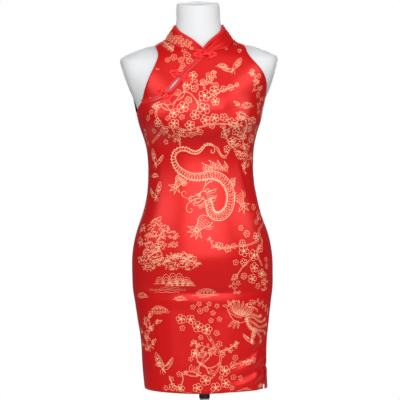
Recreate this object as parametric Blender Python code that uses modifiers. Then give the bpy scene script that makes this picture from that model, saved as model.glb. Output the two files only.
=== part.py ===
"""Cheongsam dress on a limbless dress form.

Metres, +Z up. The dress faces -Y and the wearer's left is +X. The origin is the middle of the
stand's underside, and the form's own centre line is the Z axis.

The dress is described on one smooth skin, which is the outside of the cloth. A place on the skin
is a turn about the Z axis (0 at the centre front, 90 degrees at the wearer's left side, 180 at the
centre back) and a height. Each sewn piece is a grid laid on the skin between its own seam lines
and given a wall; the form is the same skin, drawn in by the cloth's wall and a little air.
"""
import math
from functools import lru_cache

import bmesh
import bpy
from mathutils import Vector

# ------------------------------------------------------------------ driving dimensions, in metres
WALL = 0.0012            # the dress panels' cloth
COLLAR_WALL = 0.0015     # the collar, stiffened
TRIM_WALL = 0.0010       # bindings
SEAM = 0.0003            # between two sewn pieces
EASE = 0.0007            # what lies on a curved panel stands off this much more

HEM = 0.592
VENT_TOP = 0.690         # where the left side seam ends and the vent begins
FORM_FOOT = 0.812        # lower edge of the form, where the skirt starts to hang free
HIP = 0.905
WAIST = 1.111
UNDERARM = 1.2195
SHOULDER_POINT = 1.3855  # outer end of the shoulder seam
NECK_TOP = 1.479

BINDING_FRONT = 0.0065   # width of the bindings
BINDING_YOKE = 0.0042
BINDING_COLLAR = 0.0062
GAPE = 0.0060            # the opening gapes this much between the middle and the lowest frog
CORD = 0.0015            # radius of the frogs' cord
LOOP = 0.0060            # mean radius of a frog's trefoil
KNOT = 0.0042

POLE_RADIUS = 0.0090
TUBE_RADIUS = 0.0110
CLAMP_RADIUS = 0.0125
CLAMP_FOOT = 0.5670
CLAMP_TOP = 0.6020
BASE_RADIUS = 0.200
BASE_THICKNESS = 0.010
BOSS_RADIUS = 0.030
BOSS_HEIGHT = 0.030

# the skin: height, half width, depth in front, depth behind, roundness (2 is an ellipse)
FIGURE = (
    (0.592, 0.1410, 0.0785, 0.0980, 2.9),
    (0.650, 0.1415, 0.0800, 0.0990, 2.8),
    (0.7066, 0.1446, 0.0818, 0.1010, 2.6),
    (0.7618, 0.1528, 0.0838, 0.1060, 2.4),
    (0.7960, 0.1575, 0.0850, 0.1100, 2.2),
    (0.8085, 0.1597, 0.0858, 0.1117, 2.15),
    (0.8170, 0.1610, 0.0873, 0.1135, 2.1),
    (0.8300, 0.1617, 0.0918, 0.1160, 2.1),
    (0.8538, 0.1620, 0.0982, 0.1190, 2.1),
    (0.8906, 0.1620, 0.1046, 0.1210, 2.1),
    (0.9274, 0.1575, 0.1062, 0.1180, 2.1),
    (0.9642, 0.1472, 0.1034, 0.1090, 2.1),
    (1.0010, 0.1334, 0.0976, 0.0960, 2.15),
    (1.0378, 0.1245, 0.0905, 0.0850, 2.2),
    (1.0746, 0.1215, 0.0862, 0.0790, 2.2),
    (1.1114, 0.1208, 0.0856, 0.0770, 2.2),
    (1.1482, 0.1242, 0.0888, 0.0800, 2.25),
    (1.1850, 0.1342, 0.0968, 0.0870, 2.3),
    (1.2195, 0.1438, 0.1046, 0.0930, 2.3),
    (1.2540, 0.1520, 0.1046, 0.0965, 2.3),
    (1.2770, 0.1610, 0.1030, 0.0965, 2.3),
    (1.3000, 0.1700, 0.0985, 0.0945, 2.3),
    (1.3230, 0.1780, 0.0915, 0.0910, 2.2),
    (1.3460, 0.1830, 0.0820, 0.0855, 2.0),
    (1.3552, 0.1750, 0.0770, 0.0820, 1.9),
    (1.3644, 0.1560, 0.0720, 0.0780, 1.8),
    (1.3736, 0.1310, 0.0665, 0.0730, 1.7),
    (1.3828, 0.1060, 0.0610, 0.0680, 1.65),
    (1.3977, 0.0770, 0.0550, 0.0620, 1.75),
    (1.4104, 0.0640, 0.0520, 0.0590, 1.9),
    (1.4288, 0.0550, 0.0505, 0.0570, 2.0),
    (1.4500, 0.0545, 0.0500, 0.0560, 2.0),
    (1.5000, 0.0540, 0.0495, 0.0550, 2.0),
)

# from the cloth's outside to the form: height, distance; more over the tightly bent shoulders
SKIN_TO_FORM = (
    (1.3000, 0.0034),
    (1.3450, 0.0047),
    (1.4000, 0.0047),
    (1.4200, 0.0034),
)

# how far the dress has been pulled round on the form: height, degrees towards the wearer's left
PULLED_ROUND = (
    (0.592, -17.0),
    (0.690, -12.0),
    (0.812, -4.0),
    (0.905, 0.0),
    (1.111, 0.0),
    (1.2195, 7.5),
    (1.300, 6.9),
    (1.346, 1.8),
    (1.3855, 2.0),
    (1.410, 2.0),
)

# the front armhole: height, degrees from the centre front
ARMHOLE_FRONT = (
    (1.2195, 90.0),
    (1.2330, 85.0),
    (1.2540, 76.0),
    (1.2770, 65.4),
    (1.3000, 54.4),
    (1.3230, 44.6),
    (1.3460, 37.0),
    (1.3600, 41.0),
    (1.3736, 55.0),
    (1.3810, 72.0),
    (1.3855, 90.0),
)

# the back armhole: height, degrees from the centre back
ARMHOLE_BACK = (
    (1.2195, 90.0),
    (1.2330, 86.5),
    (1.2540, 79.0),
    (1.2770, 69.0),
    (1.3000, 58.5),
    (1.3230, 49.0),
    (1.3460, 41.0),
    (1.3600, 43.5),
    (1.3736, 54.0),
    (1.3810, 68.0),
    (1.3855, 90.0),
)

# the collar: degrees from its opening, height of its seam, height of its top, stand off the skin
COLLAR = (
    (0.0, 1.3546, 1.3660, 0.0020),
    (13.0, 1.3620, 1.3840, 0.0040),
    (31.0, 1.3725, 1.3985, 0.0055),
    (46.0, 1.3822, 1.4080, 0.0050),
    (60.0, 1.3885, 1.4175, 0.0030),
    (78.0, 1.3940, 1.4265, 0.0016),
    (100.0, 1.3977, 1.4288, 0.0012),
    (140.0, 1.4025, 1.4320, 0.0012),
    (180.0, 1.4050, 1.4340, 0.0012),
)

# the diagonal opening, from the neck to the wearer's right armhole: across, height
OPENING = (
    (0.0130, 1.3546),
    (-0.0040, 1.3380),
    (-0.0230, 1.3190),
    (-0.0426, 1.2995),
    (-0.0590, 1.2810),
    (-0.0736, 1.2650),
    (-0.0900, 1.2550),
    (-0.1110, 1.2500),
    (-0.1330, 1.2478),
)
GAPE_FROM = 0.37         # share of the opening's length at the middle frog, and at the lowest
GAPE_TO = 0.60

# the frogs: knot across and height; loop on the yoke's side across, height, layers under it;
# loop on the front's side across, height, layers under it (a layer is a binding it lies over)
FROGS = (
    (0.0135, 1.3505, -0.0015, 1.3500, 1, 0.0300, 1.3500, 0),
    (-0.0420, 1.3003, -0.0556, 1.3071, 0, -0.0290, 1.2945, 1),
    (-0.0727, 1.2650, -0.0890, 1.2670, 1, -0.0710, 1.2500, 1),
)

# soft forms added to the skin in front: across, height, reach across, reach up, how proud
MOUNDS = (
    (-0.0620, 1.2230, 0.0470, 0.0370, 0.0185),
    (0.0620, 1.2230, 0.0470, 0.0370, 0.0185),
    (-0.0660, 1.2950, 0.0400, 0.0450, 0.0060),
    (0.0660, 1.2950, 0.0400, 0.0450, 0.0060),
)

# large soft folds of the skirt below the form: turn, degrees wide, how proud at the hem
FLUTES = (
    (-58.0, 16.0, 0.0030),
    (18.0, 20.0, 0.0022),
    (62.0, 7.0, -0.0050),
    (48.0, 7.0, 0.0040),
    (84.0, 9.0, 0.0060),
    (128.0, 18.0, 0.0030),
    (200.0, 22.0, -0.0030),
    (248.0, 16.0, 0.0030),
)

OPENING_COLUMNS = 12     # cells along the diagonal opening
NECK_COLUMNS = 8         # cells along the neck's seam, from the opening to a shoulder
NAPE_COLUMNS = 14        # cells along the neck's seam behind, between the shoulders
SHOULDER_COLUMNS = 2     # cells along a shoulder seam
FRONT_COLUMNS = OPENING_COLUMNS + NECK_COLUMNS + SHOULDER_COLUMNS
BACK_COLUMNS = NAPE_COLUMNS + 2 * SHOULDER_COLUMNS
FRONT_ROWS = 11          # rows of the front above the underarm
BACK_ROWS = 13           # rows of the back above the underarm
SEAM_COLUMN = 0.3        # width of a panel's first and last column, against the others
SKIRT_ROWS = ((HEM, 0), (VENT_TOP, 4), (0.800, 4), (FORM_FOOT, 1), (0.826, 1), (HIP, 4), (WAIST, 8),
              (UNDERARM, 5))


# ------------------------------------------------------------------ reading the tables
def read(table, at, column):
    """The smooth value of one column at a height (or angle), on a curve through the rows."""
    last = len(table) - 1
    if at <= table[0][0]:
        return table[0][column]
    if at >= table[last][0]:
        return table[last][column]
    k = max(i for i in range(last) if table[i][0] <= at)
    start, end = table[k], table[k + 1]
    span = end[0] - start[0]

    def slope(i):
        low, high = table[max(i - 1, 0)], table[min(i + 1, last)]
        return (high[column] - low[column]) / (high[0] - low[0])

    t = (at - start[0]) / span
    return ((2 * t**3 - 3 * t**2 + 1) * start[column] + (t**3 - 2 * t**2 + t) * span * slope(k)
            + (3 * t**2 - 2 * t**3) * end[column] + (t**3 - t**2) * span * slope(k + 1))


def pulled(height):
    return math.radians(read(PULLED_ROUND, height, 1))


# ------------------------------------------------------------------ the skin
def power(value, exponent):
    return math.copysign(abs(value)**exponent, value)


def bell(distance, reach):
    return math.exp(-0.5 * (distance / reach)**2)


def skin(turn, height):
    half, front, back, roundness = (read(FIGURE, height, column) for column in (1, 2, 3, 4))
    across = half * power(math.sin(turn), 2 / roundness)
    deep = power(math.cos(turn), 2 / roundness)
    y = -front * deep if deep > 0 else -back * deep
    if deep > 0:
        for mound_x, mound_z, wide, tall, proud in MOUNDS:
            y -= proud * bell(across - mound_x, wide) * bell(height - mound_z, tall) * min(1, deep * 3)
    free = min(1, max(0, (FORM_FOOT - height) / (FORM_FOOT - HEM)))
    stretch = 1.0
    for at, wide, proud in FLUTES:
        away = (math.degrees(turn) - at + 180) % 360 - 180
        stretch += free**1.5 * proud / half * bell(away, wide)
    return Vector((across * stretch, y * stretch, height))


def outward(surface, a, b, step=1e-4):
    along = surface(a + step * 8, b) - surface(a - step * 8, b)
    up = surface(a, b + step) - surface(a, b - step)
    return along.cross(up).normalized()


def on_skin(turn, height, out=0.0):
    return skin(turn, height) + outward(skin, turn, height) * out


def turn_at(across, height):
    """The turn of the front point that lies this far across at this height."""
    half, roundness = read(FIGURE, height, 1), read(FIGURE, height, 4)
    share = max(-1.0, min(1.0, across / half))
    return math.asin(power(share, roundness / 2))


VEE = turn_at(*OPENING[0])    # the turn at which the collar opens
VEE_SIDE = 0.004              # radians from there to a piece's neck corner


def collar_angle(turn):
    """Degrees from the collar's opening, 0 to 180 on either side."""
    return abs((math.degrees(turn - VEE) + 180) % 360 - 180)


def neck_seam(turn):
    return read(COLLAR, collar_angle(turn), 1)


# ------------------------------------------------------------------ lines on the skin
def trail(places, samples=160):
    """A line through places (turn, height), as a function of the share of its length."""
    last = len(places) - 1
    knots = [(float(k),) + tuple(place) for k, place in enumerate(places)]
    line = [tuple(read(knots, last * s / samples, c) for c in (1, 2)) for s in range(samples + 1)]
    reach = [0.0]
    for start, end in zip(line, line[1:]):
        reach.append(reach[-1] + (skin(*end) - skin(*start)).length)

    def at(share):
        goal = max(0.0, min(1.0, share)) * reach[-1]
        k = next((i for i in range(samples) if reach[i + 1] >= goal), samples - 1)
        part = (goal - reach[k]) / max(reach[k + 1] - reach[k], 1e-12)
        return tuple(line[k][c] + (line[k + 1][c] - line[k][c]) * part for c in (0, 1))

    return at


def pinned(line, start, end):
    """A trail whose two ends are moved to meet its neighbours'."""
    first, last = line(0.0), line(1.0)

    def at(share):
        here = line(share)
        return tuple(here[c] + (1 - share) * (start[c] - first[c]) + share * (end[c] - last[c])
                     for c in (0, 1))
    return at


def joined(lines, shares):
    """Several trails end to end, each over its own share of the whole."""
    def at(share):
        start = 0.0
        for line, width in zip(lines, shares):
            if share <= start + width + 1e-9:
                return line((share - start) / width)
            start += width
        return lines[-1](1.0)
    return at


GIRTH_STEP = math.radians(4.0)
GIRTH_FROM, GIRTH_STEPS = -45, 135      # steps of the table: from -180 degrees up to 360


@lru_cache(maxsize=None)
def girths(height):
    """Lengths round the skin at one height, one for each step of the turn."""
    points = [skin(GIRTH_STEP * (GIRTH_FROM + k), height) for k in range(GIRTH_STEPS + 1)]
    reach = [0.0]
    for start, end in zip(points, points[1:]):
        reach.append(reach[-1] + (end - start).length)
    return reach


def to_girth(turn, height):
    reach, at = girths(height), turn / GIRTH_STEP - GIRTH_FROM
    k = min(int(at), GIRTH_STEPS - 1)
    return reach[k] + (reach[k + 1] - reach[k]) * (at - k) - reach[-GIRTH_FROM]


def from_girth(girth, height):
    reach = girths(height)
    goal = girth + reach[-GIRTH_FROM]
    k = next((i for i in range(GIRTH_STEPS) if reach[i + 1] >= goal), GIRTH_STEPS - 1)
    return GIRTH_STEP * (GIRTH_FROM + k + (goal - reach[k]) / (reach[k + 1] - reach[k]))


# the flat cloth's height against the worn height: over the shoulders it leans far from upright
FLAT_HEIGHTS = ((0.0, 0.0), (1.330, 1.330), (1.362, 1.400), (1.440, 1.580))
WORN_HEIGHTS = tuple((flat, worn) for worn, flat in FLAT_HEIGHTS)


EVENING_PASSES = 150


def straight(table, at):
    start, end = next(pair for pair in zip(table, table[1:]) if at <= pair[1][0])
    return start[1] + (end[1] - start[1]) * (at - start[0]) / (end[0] - start[0])


def flattened(place):
    return Vector((to_girth(*place), straight(FLAT_HEIGHTS, place[1])))


def worn(flat):
    height = straight(WORN_HEIGHTS, flat.y)
    return from_girth(flat.x, height), height


def evened(bottom, top, left, right):
    """The corners of a grid between four lines of places, spread as the cloth lies flat.

    The grid starts as a blend of its sides. Each pass then moves a corner by Winslow's rule, which
    evens the cells out and keeps them from folding over at a hollow side, such as an armhole.
    """
    columns, rows = len(bottom) - 1, len(left) - 1
    low, high, west, east = ([flattened(place) for place in line]
                             for line in (bottom, top, left, right))

    def blend(i, j):
        u, v = i / columns, j / rows
        corners = (1 - v) * ((1 - u) * low[0] + u * low[-1]) + v * ((1 - u) * high[0] + u * high[-1])
        return (1 - v) * low[i] + v * high[i] + (1 - u) * west[j] + u * east[j] - corners

    grid = [[blend(i, j) for i in range(columns + 1)] for j in range(rows + 1)]
    for _ in range(EVENING_PASSES):
        for j in range(1, rows):
            for i in range(1, columns):
                across = (grid[j][i + 1] - grid[j][i - 1]) / 2
                up = (grid[j + 1][i] - grid[j - 1][i]) / 2
                skew = (grid[j + 1][i + 1] - grid[j + 1][i - 1]
                        - grid[j - 1][i + 1] + grid[j - 1][i - 1]) * across.dot(up) / 2
                sides = (grid[j][i + 1] + grid[j][i - 1]) * up.dot(up)
                ends = (grid[j + 1][i] + grid[j - 1][i]) * across.dot(across)
                grid[j][i] = (sides + ends - skew) / (2 * (up.dot(up) + across.dot(across)))
    return [[worn(flat) for flat in line] for line in grid]


def sampled(line, count):
    return [line(k / count) for k in range(count + 1)]


def opening_edge(share, inward):
    """The opening's line moved sideways on the front, down for inward > 0."""
    last = len(OPENING) - 1
    knots = [(float(k),) + place for k, place in enumerate(OPENING)]

    def place(s):
        return Vector((read(knots, last * s, 1), read(knots, last * s, 2)))

    here = place(share)
    along = place(min(1.0, share + 0.01)) - place(max(0.0, share - 0.01))
    down = Vector((-along.y, along.x)).normalized()
    here = here + down * inward
    return turn_at(here.x, here.y), here.y


def gape(share):
    middle = (share - GAPE_FROM) / (GAPE_TO - GAPE_FROM)
    return GAPE * math.sin(math.pi * middle) if 0 < middle < 1 else 0.0


def armhole(table, side, height, start=0.0):
    """A point of an armhole; side is +1 at the wearer's left, start is 180 degrees on the back."""
    away = math.radians(read(table, height, 1))
    turn = side * away if start == 0.0 else start - side * away
    return turn + pulled(height), height


def armhole_trail(table, side, low, high, start=0.0):
    heights = [low] + [row[0] for row in table if low + 0.004 < row[0] < high - 0.002] + [high]
    return trail([armhole(table, side, height, start) for height in heights])


# ------------------------------------------------------------------ building in Blender
for old in list(bpy.data.objects):
    bpy.data.objects.remove(old, do_unlink=True)

collection = bpy.data.collections.new("cheongsam_dress")
bpy.context.scene.collection.children.link(collection)


def material(name, colour, roughness, metallic=0.0):
    made = bpy.data.materials.new(name)
    made.use_nodes = True
    shader = made.node_tree.nodes["Principled BSDF"]
    shader.inputs["Base Color"].default_value = (*colour, 1.0)
    shader.inputs["Roughness"].default_value = roughness
    shader.inputs["Metallic"].default_value = metallic
    made.diffuse_color = (*colour, 1.0)
    return made


SATIN = material("red_satin", (0.72, 0.02, 0.02), 0.35)
BINDING = material("red_satin_binding", (0.62, 0.01, 0.01), 0.30)
FROG_CORD = material("red_satin_cord", (0.50, 0.005, 0.01), 0.35)
FORM_SHELL = material("white_form_shell", (0.85, 0.85, 0.86), 0.40)
STAND_WHITE = material("white_powder_coat", (0.85, 0.85, 0.85), 0.35)
STAND_BLACK = material("black_nylon", (0.02, 0.02, 0.02), 0.45)
STAND_STEEL = material("bright_steel", (0.60, 0.60, 0.62), 0.25, 1.0)


def finish(name, bm, finish_material):
    mesh = bpy.data.meshes.new(name)
    bm.to_mesh(mesh)
    bm.free()
    mesh.shade_smooth()
    made = bpy.data.objects.new(name, mesh)
    made.data.materials.append(finish_material)
    collection.objects.link(made)
    return made


def split(bm):
    """Outward faces, with bent four-sided ones split here, so that walls keep their gaps."""
    bmesh.ops.recalc_face_normals(bm, faces=bm.faces)
    bmesh.ops.triangulate(bm, faces=bm.faces)
    return bm


def cloth(name, columns, rows, place, wall, finish_material):
    """A wall of cloth: two grids, put where place(column, row, out) says, joined at their edges.

    Both faces follow the skin's own slope, so two panels' edges stay a seam's gap apart.
    """
    bm = bmesh.new()
    for out in (0.0, -wall):
        grid = bmesh.ops.create_grid(bm, x_segments=columns, y_segments=rows, size=1.0)["verts"]
        for vert in grid:
            column = round((vert.co.x + 1) / 2 * columns)
            row = round((vert.co.y + 1) / 2 * rows)
            vert.co = place(column, row, out)
    rims = [edge for edge in bm.edges if edge.is_boundary]
    bmesh.ops.bridge_loops(bm, edges=rims)
    return finish(name, split(bm), finish_material)


def column_share(column, columns):
    """Even columns, but for narrow ones along the two side seams."""
    whole = columns - 2 + 2 * SEAM_COLUMN
    if column == 0:
        return 0.0
    if column == columns:
        return 1.0
    return (SEAM_COLUMN + column - 1) / whole


def skirt_heights():
    heights = [SKIRT_ROWS[0][0]]
    for height, count in SKIRT_ROWS[1:]:
        start = heights[-1]
        heights += [start + (height - start) * (k + 1) / count for k in range(count)]
    return heights


# ------------------------------------------------------------------ the front, the yoke, the back
HEIGHTS = skirt_heights()
HALF_SEAM = SEAM / 2


def seam_turn(side, height, start=0.0):
    """The turn of a side seam's edge: half the seam's gap short of the seam line."""
    half = read(FIGURE, height, 2 if start == 0.0 else 3)
    away = math.pi / 2 - HALF_SEAM / half
    turn = side * away if start == 0.0 else start - side * away
    return turn + pulled(height)


def vent(height, reach):
    """How far, in radians, an edge of the vent has drawn away from the seam line."""
    free = max(0.0, (VENT_TOP - height) / (VENT_TOP - HEM))
    return math.radians(reach) * math.sin(free * math.pi / 2)


def front_lower(column, height):
    left, right = seam_turn(-1, height), seam_turn(1, height) - vent(height, 3.5)
    return left + (right - left) * column_share(column, FRONT_COLUMNS), height


SHOULDER_LEFT = math.radians(90.0) + pulled(SHOULDER_POINT)     # turns of the two shoulder seams
SHOULDER_RIGHT = math.radians(-90.0) + pulled(SHOULDER_POINT)
OPENING_END = 0.985      # share of the opening where it runs out at the armhole
SHOULDER_GAP = HALF_SEAM / 0.055


def neck_edge(start, end, steps=10):
    turns = [start + (end - start) * k / steps for k in range(steps + 1)]
    return trail([(turn, neck_seam(turn) - SEAM) for turn in turns])



def opening_trail(inward, start, end, steps=24):
    shares = [start + (end - start) * k / steps for k in range(steps + 1)]
    return trail([opening_edge(s, inward + math.copysign(gape(s) / 2, inward)) for s in shares])


def shoulder(turn, low, high):
    return trail([(turn, low + (high - low) * k / 3) for k in range(4)])


front_corner = opening_edge(OPENING_END, HALF_SEAM)
front_neck = neck_edge(VEE + VEE_SIDE, SHOULDER_LEFT - SHOULDER_GAP)
front_top = joined(
    (pinned(opening_trail(HALF_SEAM, OPENING_END, 0.0), front_corner, front_neck(0)),
     front_neck,
     shoulder(SHOULDER_LEFT - SHOULDER_GAP, neck_seam(SHOULDER_LEFT) - SEAM, SHOULDER_POINT)),
    (OPENING_COLUMNS / FRONT_COLUMNS, NECK_COLUMNS / FRONT_COLUMNS, SHOULDER_COLUMNS / FRONT_COLUMNS))
front_left = armhole_trail(ARMHOLE_FRONT, -1, UNDERARM, front_corner[1])
front_right = armhole_trail(ARMHOLE_FRONT, 1, UNDERARM, SHOULDER_POINT)


front_low = [front_lower(column, UNDERARM) for column in range(FRONT_COLUMNS + 1)]
front_upper = evened(front_low, sampled(front_top, FRONT_COLUMNS),
                     sampled(pinned(front_left, front_low[0], front_top(0)), FRONT_ROWS),
                     sampled(pinned(front_right, front_low[-1], front_top(1)), FRONT_ROWS))


def front_place(column, row, out):
    lower = len(HEIGHTS) - 1
    if row <= lower:
        return on_skin(*front_lower(column, HEIGHTS[row]), out)
    return on_skin(*front_upper[row - lower][column], out)


cloth("front_panel", FRONT_COLUMNS, len(HEIGHTS) - 1 + FRONT_ROWS, front_place, WALL, SATIN)

yoke_neck = neck_edge(VEE - VEE_SIDE, SHOULDER_RIGHT + SHOULDER_GAP)
yoke_bottom = pinned(opening_trail(-HALF_SEAM, OPENING_END, 0.0),
                     opening_edge(OPENING_END, -HALF_SEAM), yoke_neck(0))
yoke_top = shoulder(SHOULDER_RIGHT + SHOULDER_GAP, SHOULDER_POINT, neck_seam(SHOULDER_RIGHT) - SEAM)
yoke_left = pinned(armhole_trail(ARMHOLE_FRONT, -1, yoke_bottom(0)[1], SHOULDER_POINT),
                   yoke_bottom(0), yoke_top(0))
# its grid runs along the opening, and up its neck edge
yoke_grid = evened(sampled(yoke_bottom, OPENING_COLUMNS), sampled(yoke_top, OPENING_COLUMNS),
                   sampled(yoke_left, NECK_COLUMNS),
                   sampled(pinned(yoke_neck, yoke_bottom(1), yoke_top(1)), NECK_COLUMNS))


def yoke_place(column, row, out):
    return on_skin(*yoke_grid[row][column], out)


cloth("yoke_panel", OPENING_COLUMNS, NECK_COLUMNS, yoke_place, WALL, SATIN)


def back_lower(column, height):
    left = seam_turn(1, height, math.pi) + vent(height, -1.0)
    right = seam_turn(-1, height, math.pi)
    return left + (right - left) * column_share(column, BACK_COLUMNS), height


BACK_LEFT = SHOULDER_LEFT + SHOULDER_GAP
BACK_RIGHT = SHOULDER_RIGHT + 2 * math.pi - SHOULDER_GAP
back_neck = neck_edge(BACK_LEFT, BACK_RIGHT, 20)
back_top = joined(
    (shoulder(BACK_LEFT, SHOULDER_POINT, neck_seam(BACK_LEFT) - SEAM),
     back_neck,
     shoulder(BACK_RIGHT, neck_seam(BACK_RIGHT) - SEAM, SHOULDER_POINT)),
    (SHOULDER_COLUMNS / BACK_COLUMNS, NAPE_COLUMNS / BACK_COLUMNS, SHOULDER_COLUMNS / BACK_COLUMNS))
back_low = [back_lower(column, UNDERARM) for column in range(BACK_COLUMNS + 1)]
back_left = armhole_trail(ARMHOLE_BACK, 1, UNDERARM, SHOULDER_POINT, math.pi)
back_right = armhole_trail(ARMHOLE_BACK, -1, UNDERARM, SHOULDER_POINT, math.pi)
back_upper = evened(back_low, sampled(back_top, BACK_COLUMNS),
                    sampled(pinned(back_left, back_low[0], back_top(0)), BACK_ROWS),
                    sampled(pinned(back_right, back_low[-1], back_top(1)), BACK_ROWS))


def back_place(column, row, out):
    lower = len(HEIGHTS) - 1
    if row <= lower:
        return on_skin(*back_lower(column, HEIGHTS[row]), out)
    return on_skin(*back_upper[row - lower][column], out)


cloth("back_panel", BACK_COLUMNS, len(HEIGHTS) - 1 + BACK_ROWS, back_place, WALL, SATIN)

# ------------------------------------------------------------------ the collar and the bindings
COLLAR_ROWS = 3
COLLAR_CURVE = 0.0026    # how far the band bows outwards between its seam and its top


def collar_point(turn, share):
    away = collar_angle(turn)
    foot = on_skin(turn, neck_seam(turn) + SEAM)
    head = on_skin(turn, read(COLLAR, away, 2), read(COLLAR, away, 3))
    point = foot.lerp(head, share)
    side = Vector((math.sin(turn), -math.cos(turn), 0.0))
    return point + side * COLLAR_CURVE * 4 * share * (1 - share)


def on_collar(turn, share, out):
    return collar_point(turn, share) + outward(collar_point, turn, share, 1e-3) * out


# the collar's columns meet the corners of the panels' cells, so that its seam runs true
COLLAR_TURNS = [front_neck(k / NECK_COLUMNS)[0] for k in range(NECK_COLUMNS)]
COLLAR_TURNS += [(front_neck(1)[0] + back_neck(0)[0]) / 2]
COLLAR_TURNS += [back_neck(k / NAPE_COLUMNS)[0] for k in range(1, NAPE_COLUMNS)]
COLLAR_TURNS += [(yoke_neck(1)[0] + 2 * math.pi + back_neck(1)[0]) / 2]
COLLAR_TURNS += [yoke_neck(1 - k / NECK_COLUMNS)[0] + 2 * math.pi for k in range(1, NECK_COLUMNS + 1)]
COLLAR_COLUMNS = len(COLLAR_TURNS) - 1


def collar_place(column, row, out):
    return on_collar(COLLAR_TURNS[column], row / COLLAR_ROWS, out)


cloth("collar_band", COLLAR_COLUMNS, COLLAR_ROWS, collar_place, COLLAR_WALL, SATIN)


def collar_binding_place(column, row, out):
    turn = COLLAR_TURNS[column]
    tall = (collar_point(turn, 1.0) - collar_point(turn, 0.0)).length
    low = 1 - min(0.6, BINDING_COLLAR / tall)
    share = (low, max((1 + low) / 2, 1 - 1 / COLLAR_ROWS), 1.0)[row]
    return on_collar(turn, share, SEAM + TRIM_WALL + out)


cloth("collar_binding", COLLAR_COLUMNS, 2, collar_binding_place, TRIM_WALL, BINDING)


def binding(name, edge, width):
    """A strip on a panel along the opening; edge is the line of the panel's own corners."""
    edge = [*edge[:-1], edge_end(edge)]
    points = [skin(*place) for place in edge]
    inner = []
    for k, (turn, height) in enumerate(edge):
        along = points[min(k + 1, len(edge) - 1)] - points[max(k - 1, 0)]
        aside = along.cross(outward(skin, turn, height)).normalized()
        moved = points[k] + aside * width
        inner.append((turn_at(moved.x, moved.z), moved.z))
    rows = (edge, inner) if width < 0 else (inner, edge)

    def place(column, row, out):
        return on_skin(*rows[row][column], SEAM + EASE + TRIM_WALL + out)
    cloth(name, len(edge) - 1, 1, place, TRIM_WALL, BINDING)


def edge_end(edge):
    """The strip stops short of the collar's seam."""
    last, end = edge[-2], edge[-1]
    return tuple(last[c] + (end[c] - last[c]) * 0.7 for c in (0, 1))


binding("placket_binding_front", sampled(front_top, FRONT_COLUMNS)[:OPENING_COLUMNS + 1], BINDING_FRONT)
binding("placket_binding_yoke", sampled(yoke_bottom, OPENING_COLUMNS), -BINDING_YOKE)

# ------------------------------------------------------------------ the frogs
LOOP_POINTS = 20
LOBES = 3
LOBE_DEPTH = 0.34


def frog_loop(name, knot, middle, layers):
    """A trefoil of cord on the cloth; one lobe points away from the knot."""
    knot, middle = Vector(knot), Vector(middle)
    along = (middle - knot).normalized()
    aside = Vector((-along.y, along.x))
    rise = SEAM + CORD + layers * (SEAM + EASE + TRIM_WALL)
    curve = bpy.data.curves.new(name, "CURVE")
    curve.dimensions = "3D"
    curve.bevel_depth = CORD
    curve.bevel_resolution = 1
    spline = curve.splines.new("POLY")
    spline.points.add(LOOP_POINTS - 1)
    for k, point in enumerate(spline.points):
        angle = 2 * math.pi * k / LOOP_POINTS
        reach = LOOP * (1 + LOBE_DEPTH * math.cos(LOBES * angle))
        flat = middle + (along * math.cos(angle) + aside * math.sin(angle)) * reach
        point.co = (*on_skin(turn_at(flat.x, flat.y), flat.y, rise), 1.0)
    spline.use_cyclic_u = True
    made = bpy.data.objects.new(name, curve)
    made.data.materials.append(FROG_CORD)
    collection.objects.link(made)


def frog_knot(name, place):
    bm = bmesh.new()
    bmesh.ops.create_uvsphere(bm, u_segments=10, v_segments=6, radius=KNOT)
    middle = on_skin(turn_at(*place), place[1], SEAM + EASE + TRIM_WALL + KNOT)
    bmesh.ops.translate(bm, verts=bm.verts, vec=middle)
    finish(name, bm, FROG_CORD)


for number, row in enumerate(FROGS, 1):
    frog_loop(f"frog_{number}_loop_yoke", row[0:2], row[2:4], row[4])
    frog_loop(f"frog_{number}_loop_front", row[0:2], row[5:7], row[7])
    frog_knot(f"frog_{number}_knot", row[0:2])

# ------------------------------------------------------------------ the form
FORM_COLUMNS = 36
FORM_HEIGHTS = (0.8160, 0.8400, 0.8700, 0.9050, 0.9400, 0.9700, 1.0000, 1.0300, 1.0700, 1.1110,
                1.1480, 1.1800, 1.2050, 1.2250, 1.2440, 1.2640, 1.2850, 1.3060, 1.3260, 1.3420,
                1.3490, 1.3552, 1.3620, 1.3700, 1.3780, 1.3860, 1.3950, 1.4060, 1.4180, 1.4320,
                1.4540, NECK_TOP)
FOOT_ROUND = 0.008       # rounding of the form's lower edge
BARE_REACH = 18.0        # degrees from an armhole's edge to where the form is full
# the bare arm stumps: height, how far they stand out of the skin, distance of their flat end
STUMPS = (
    (1.2195, 0.0000, 0.1440),
    (1.2430, 0.0050, 0.1498),
    (1.2950, 0.0080, 0.1668),
    (1.3380, 0.0080, 0.1806),
    (1.3490, 0.0030, 0.1838),
    (1.3570, 0.0016, 0.1838),
    (1.4000, 0.0016, 0.1838),
)
STUMP_SLANT = 0.10       # the flat ends are turned this much towards the front
NECK_ROUND = 0.004       # rounding of the neck's top edge
NECK_SLANT = 0.22        # the neck's top slopes down to the front


def bare(turn, height):
    """How far a place lies inside an armhole, 0 under the cloth to 1 well clear of it."""
    if not ARMHOLE_FRONT[0][0] < height < ARMHOLE_FRONT[-1][0]:
        return 0.0
    ahead = abs((math.degrees(turn - pulled(height)) + 180) % 360 - 180)
    clear = min(ahead - read(ARMHOLE_FRONT, height, 1), 180 - read(ARMHOLE_BACK, height, 1) - ahead)
    t = min(1.0, max(0.0, (clear - 2.0) / BARE_REACH))
    return t * t * (3 - 2 * t)


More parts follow.
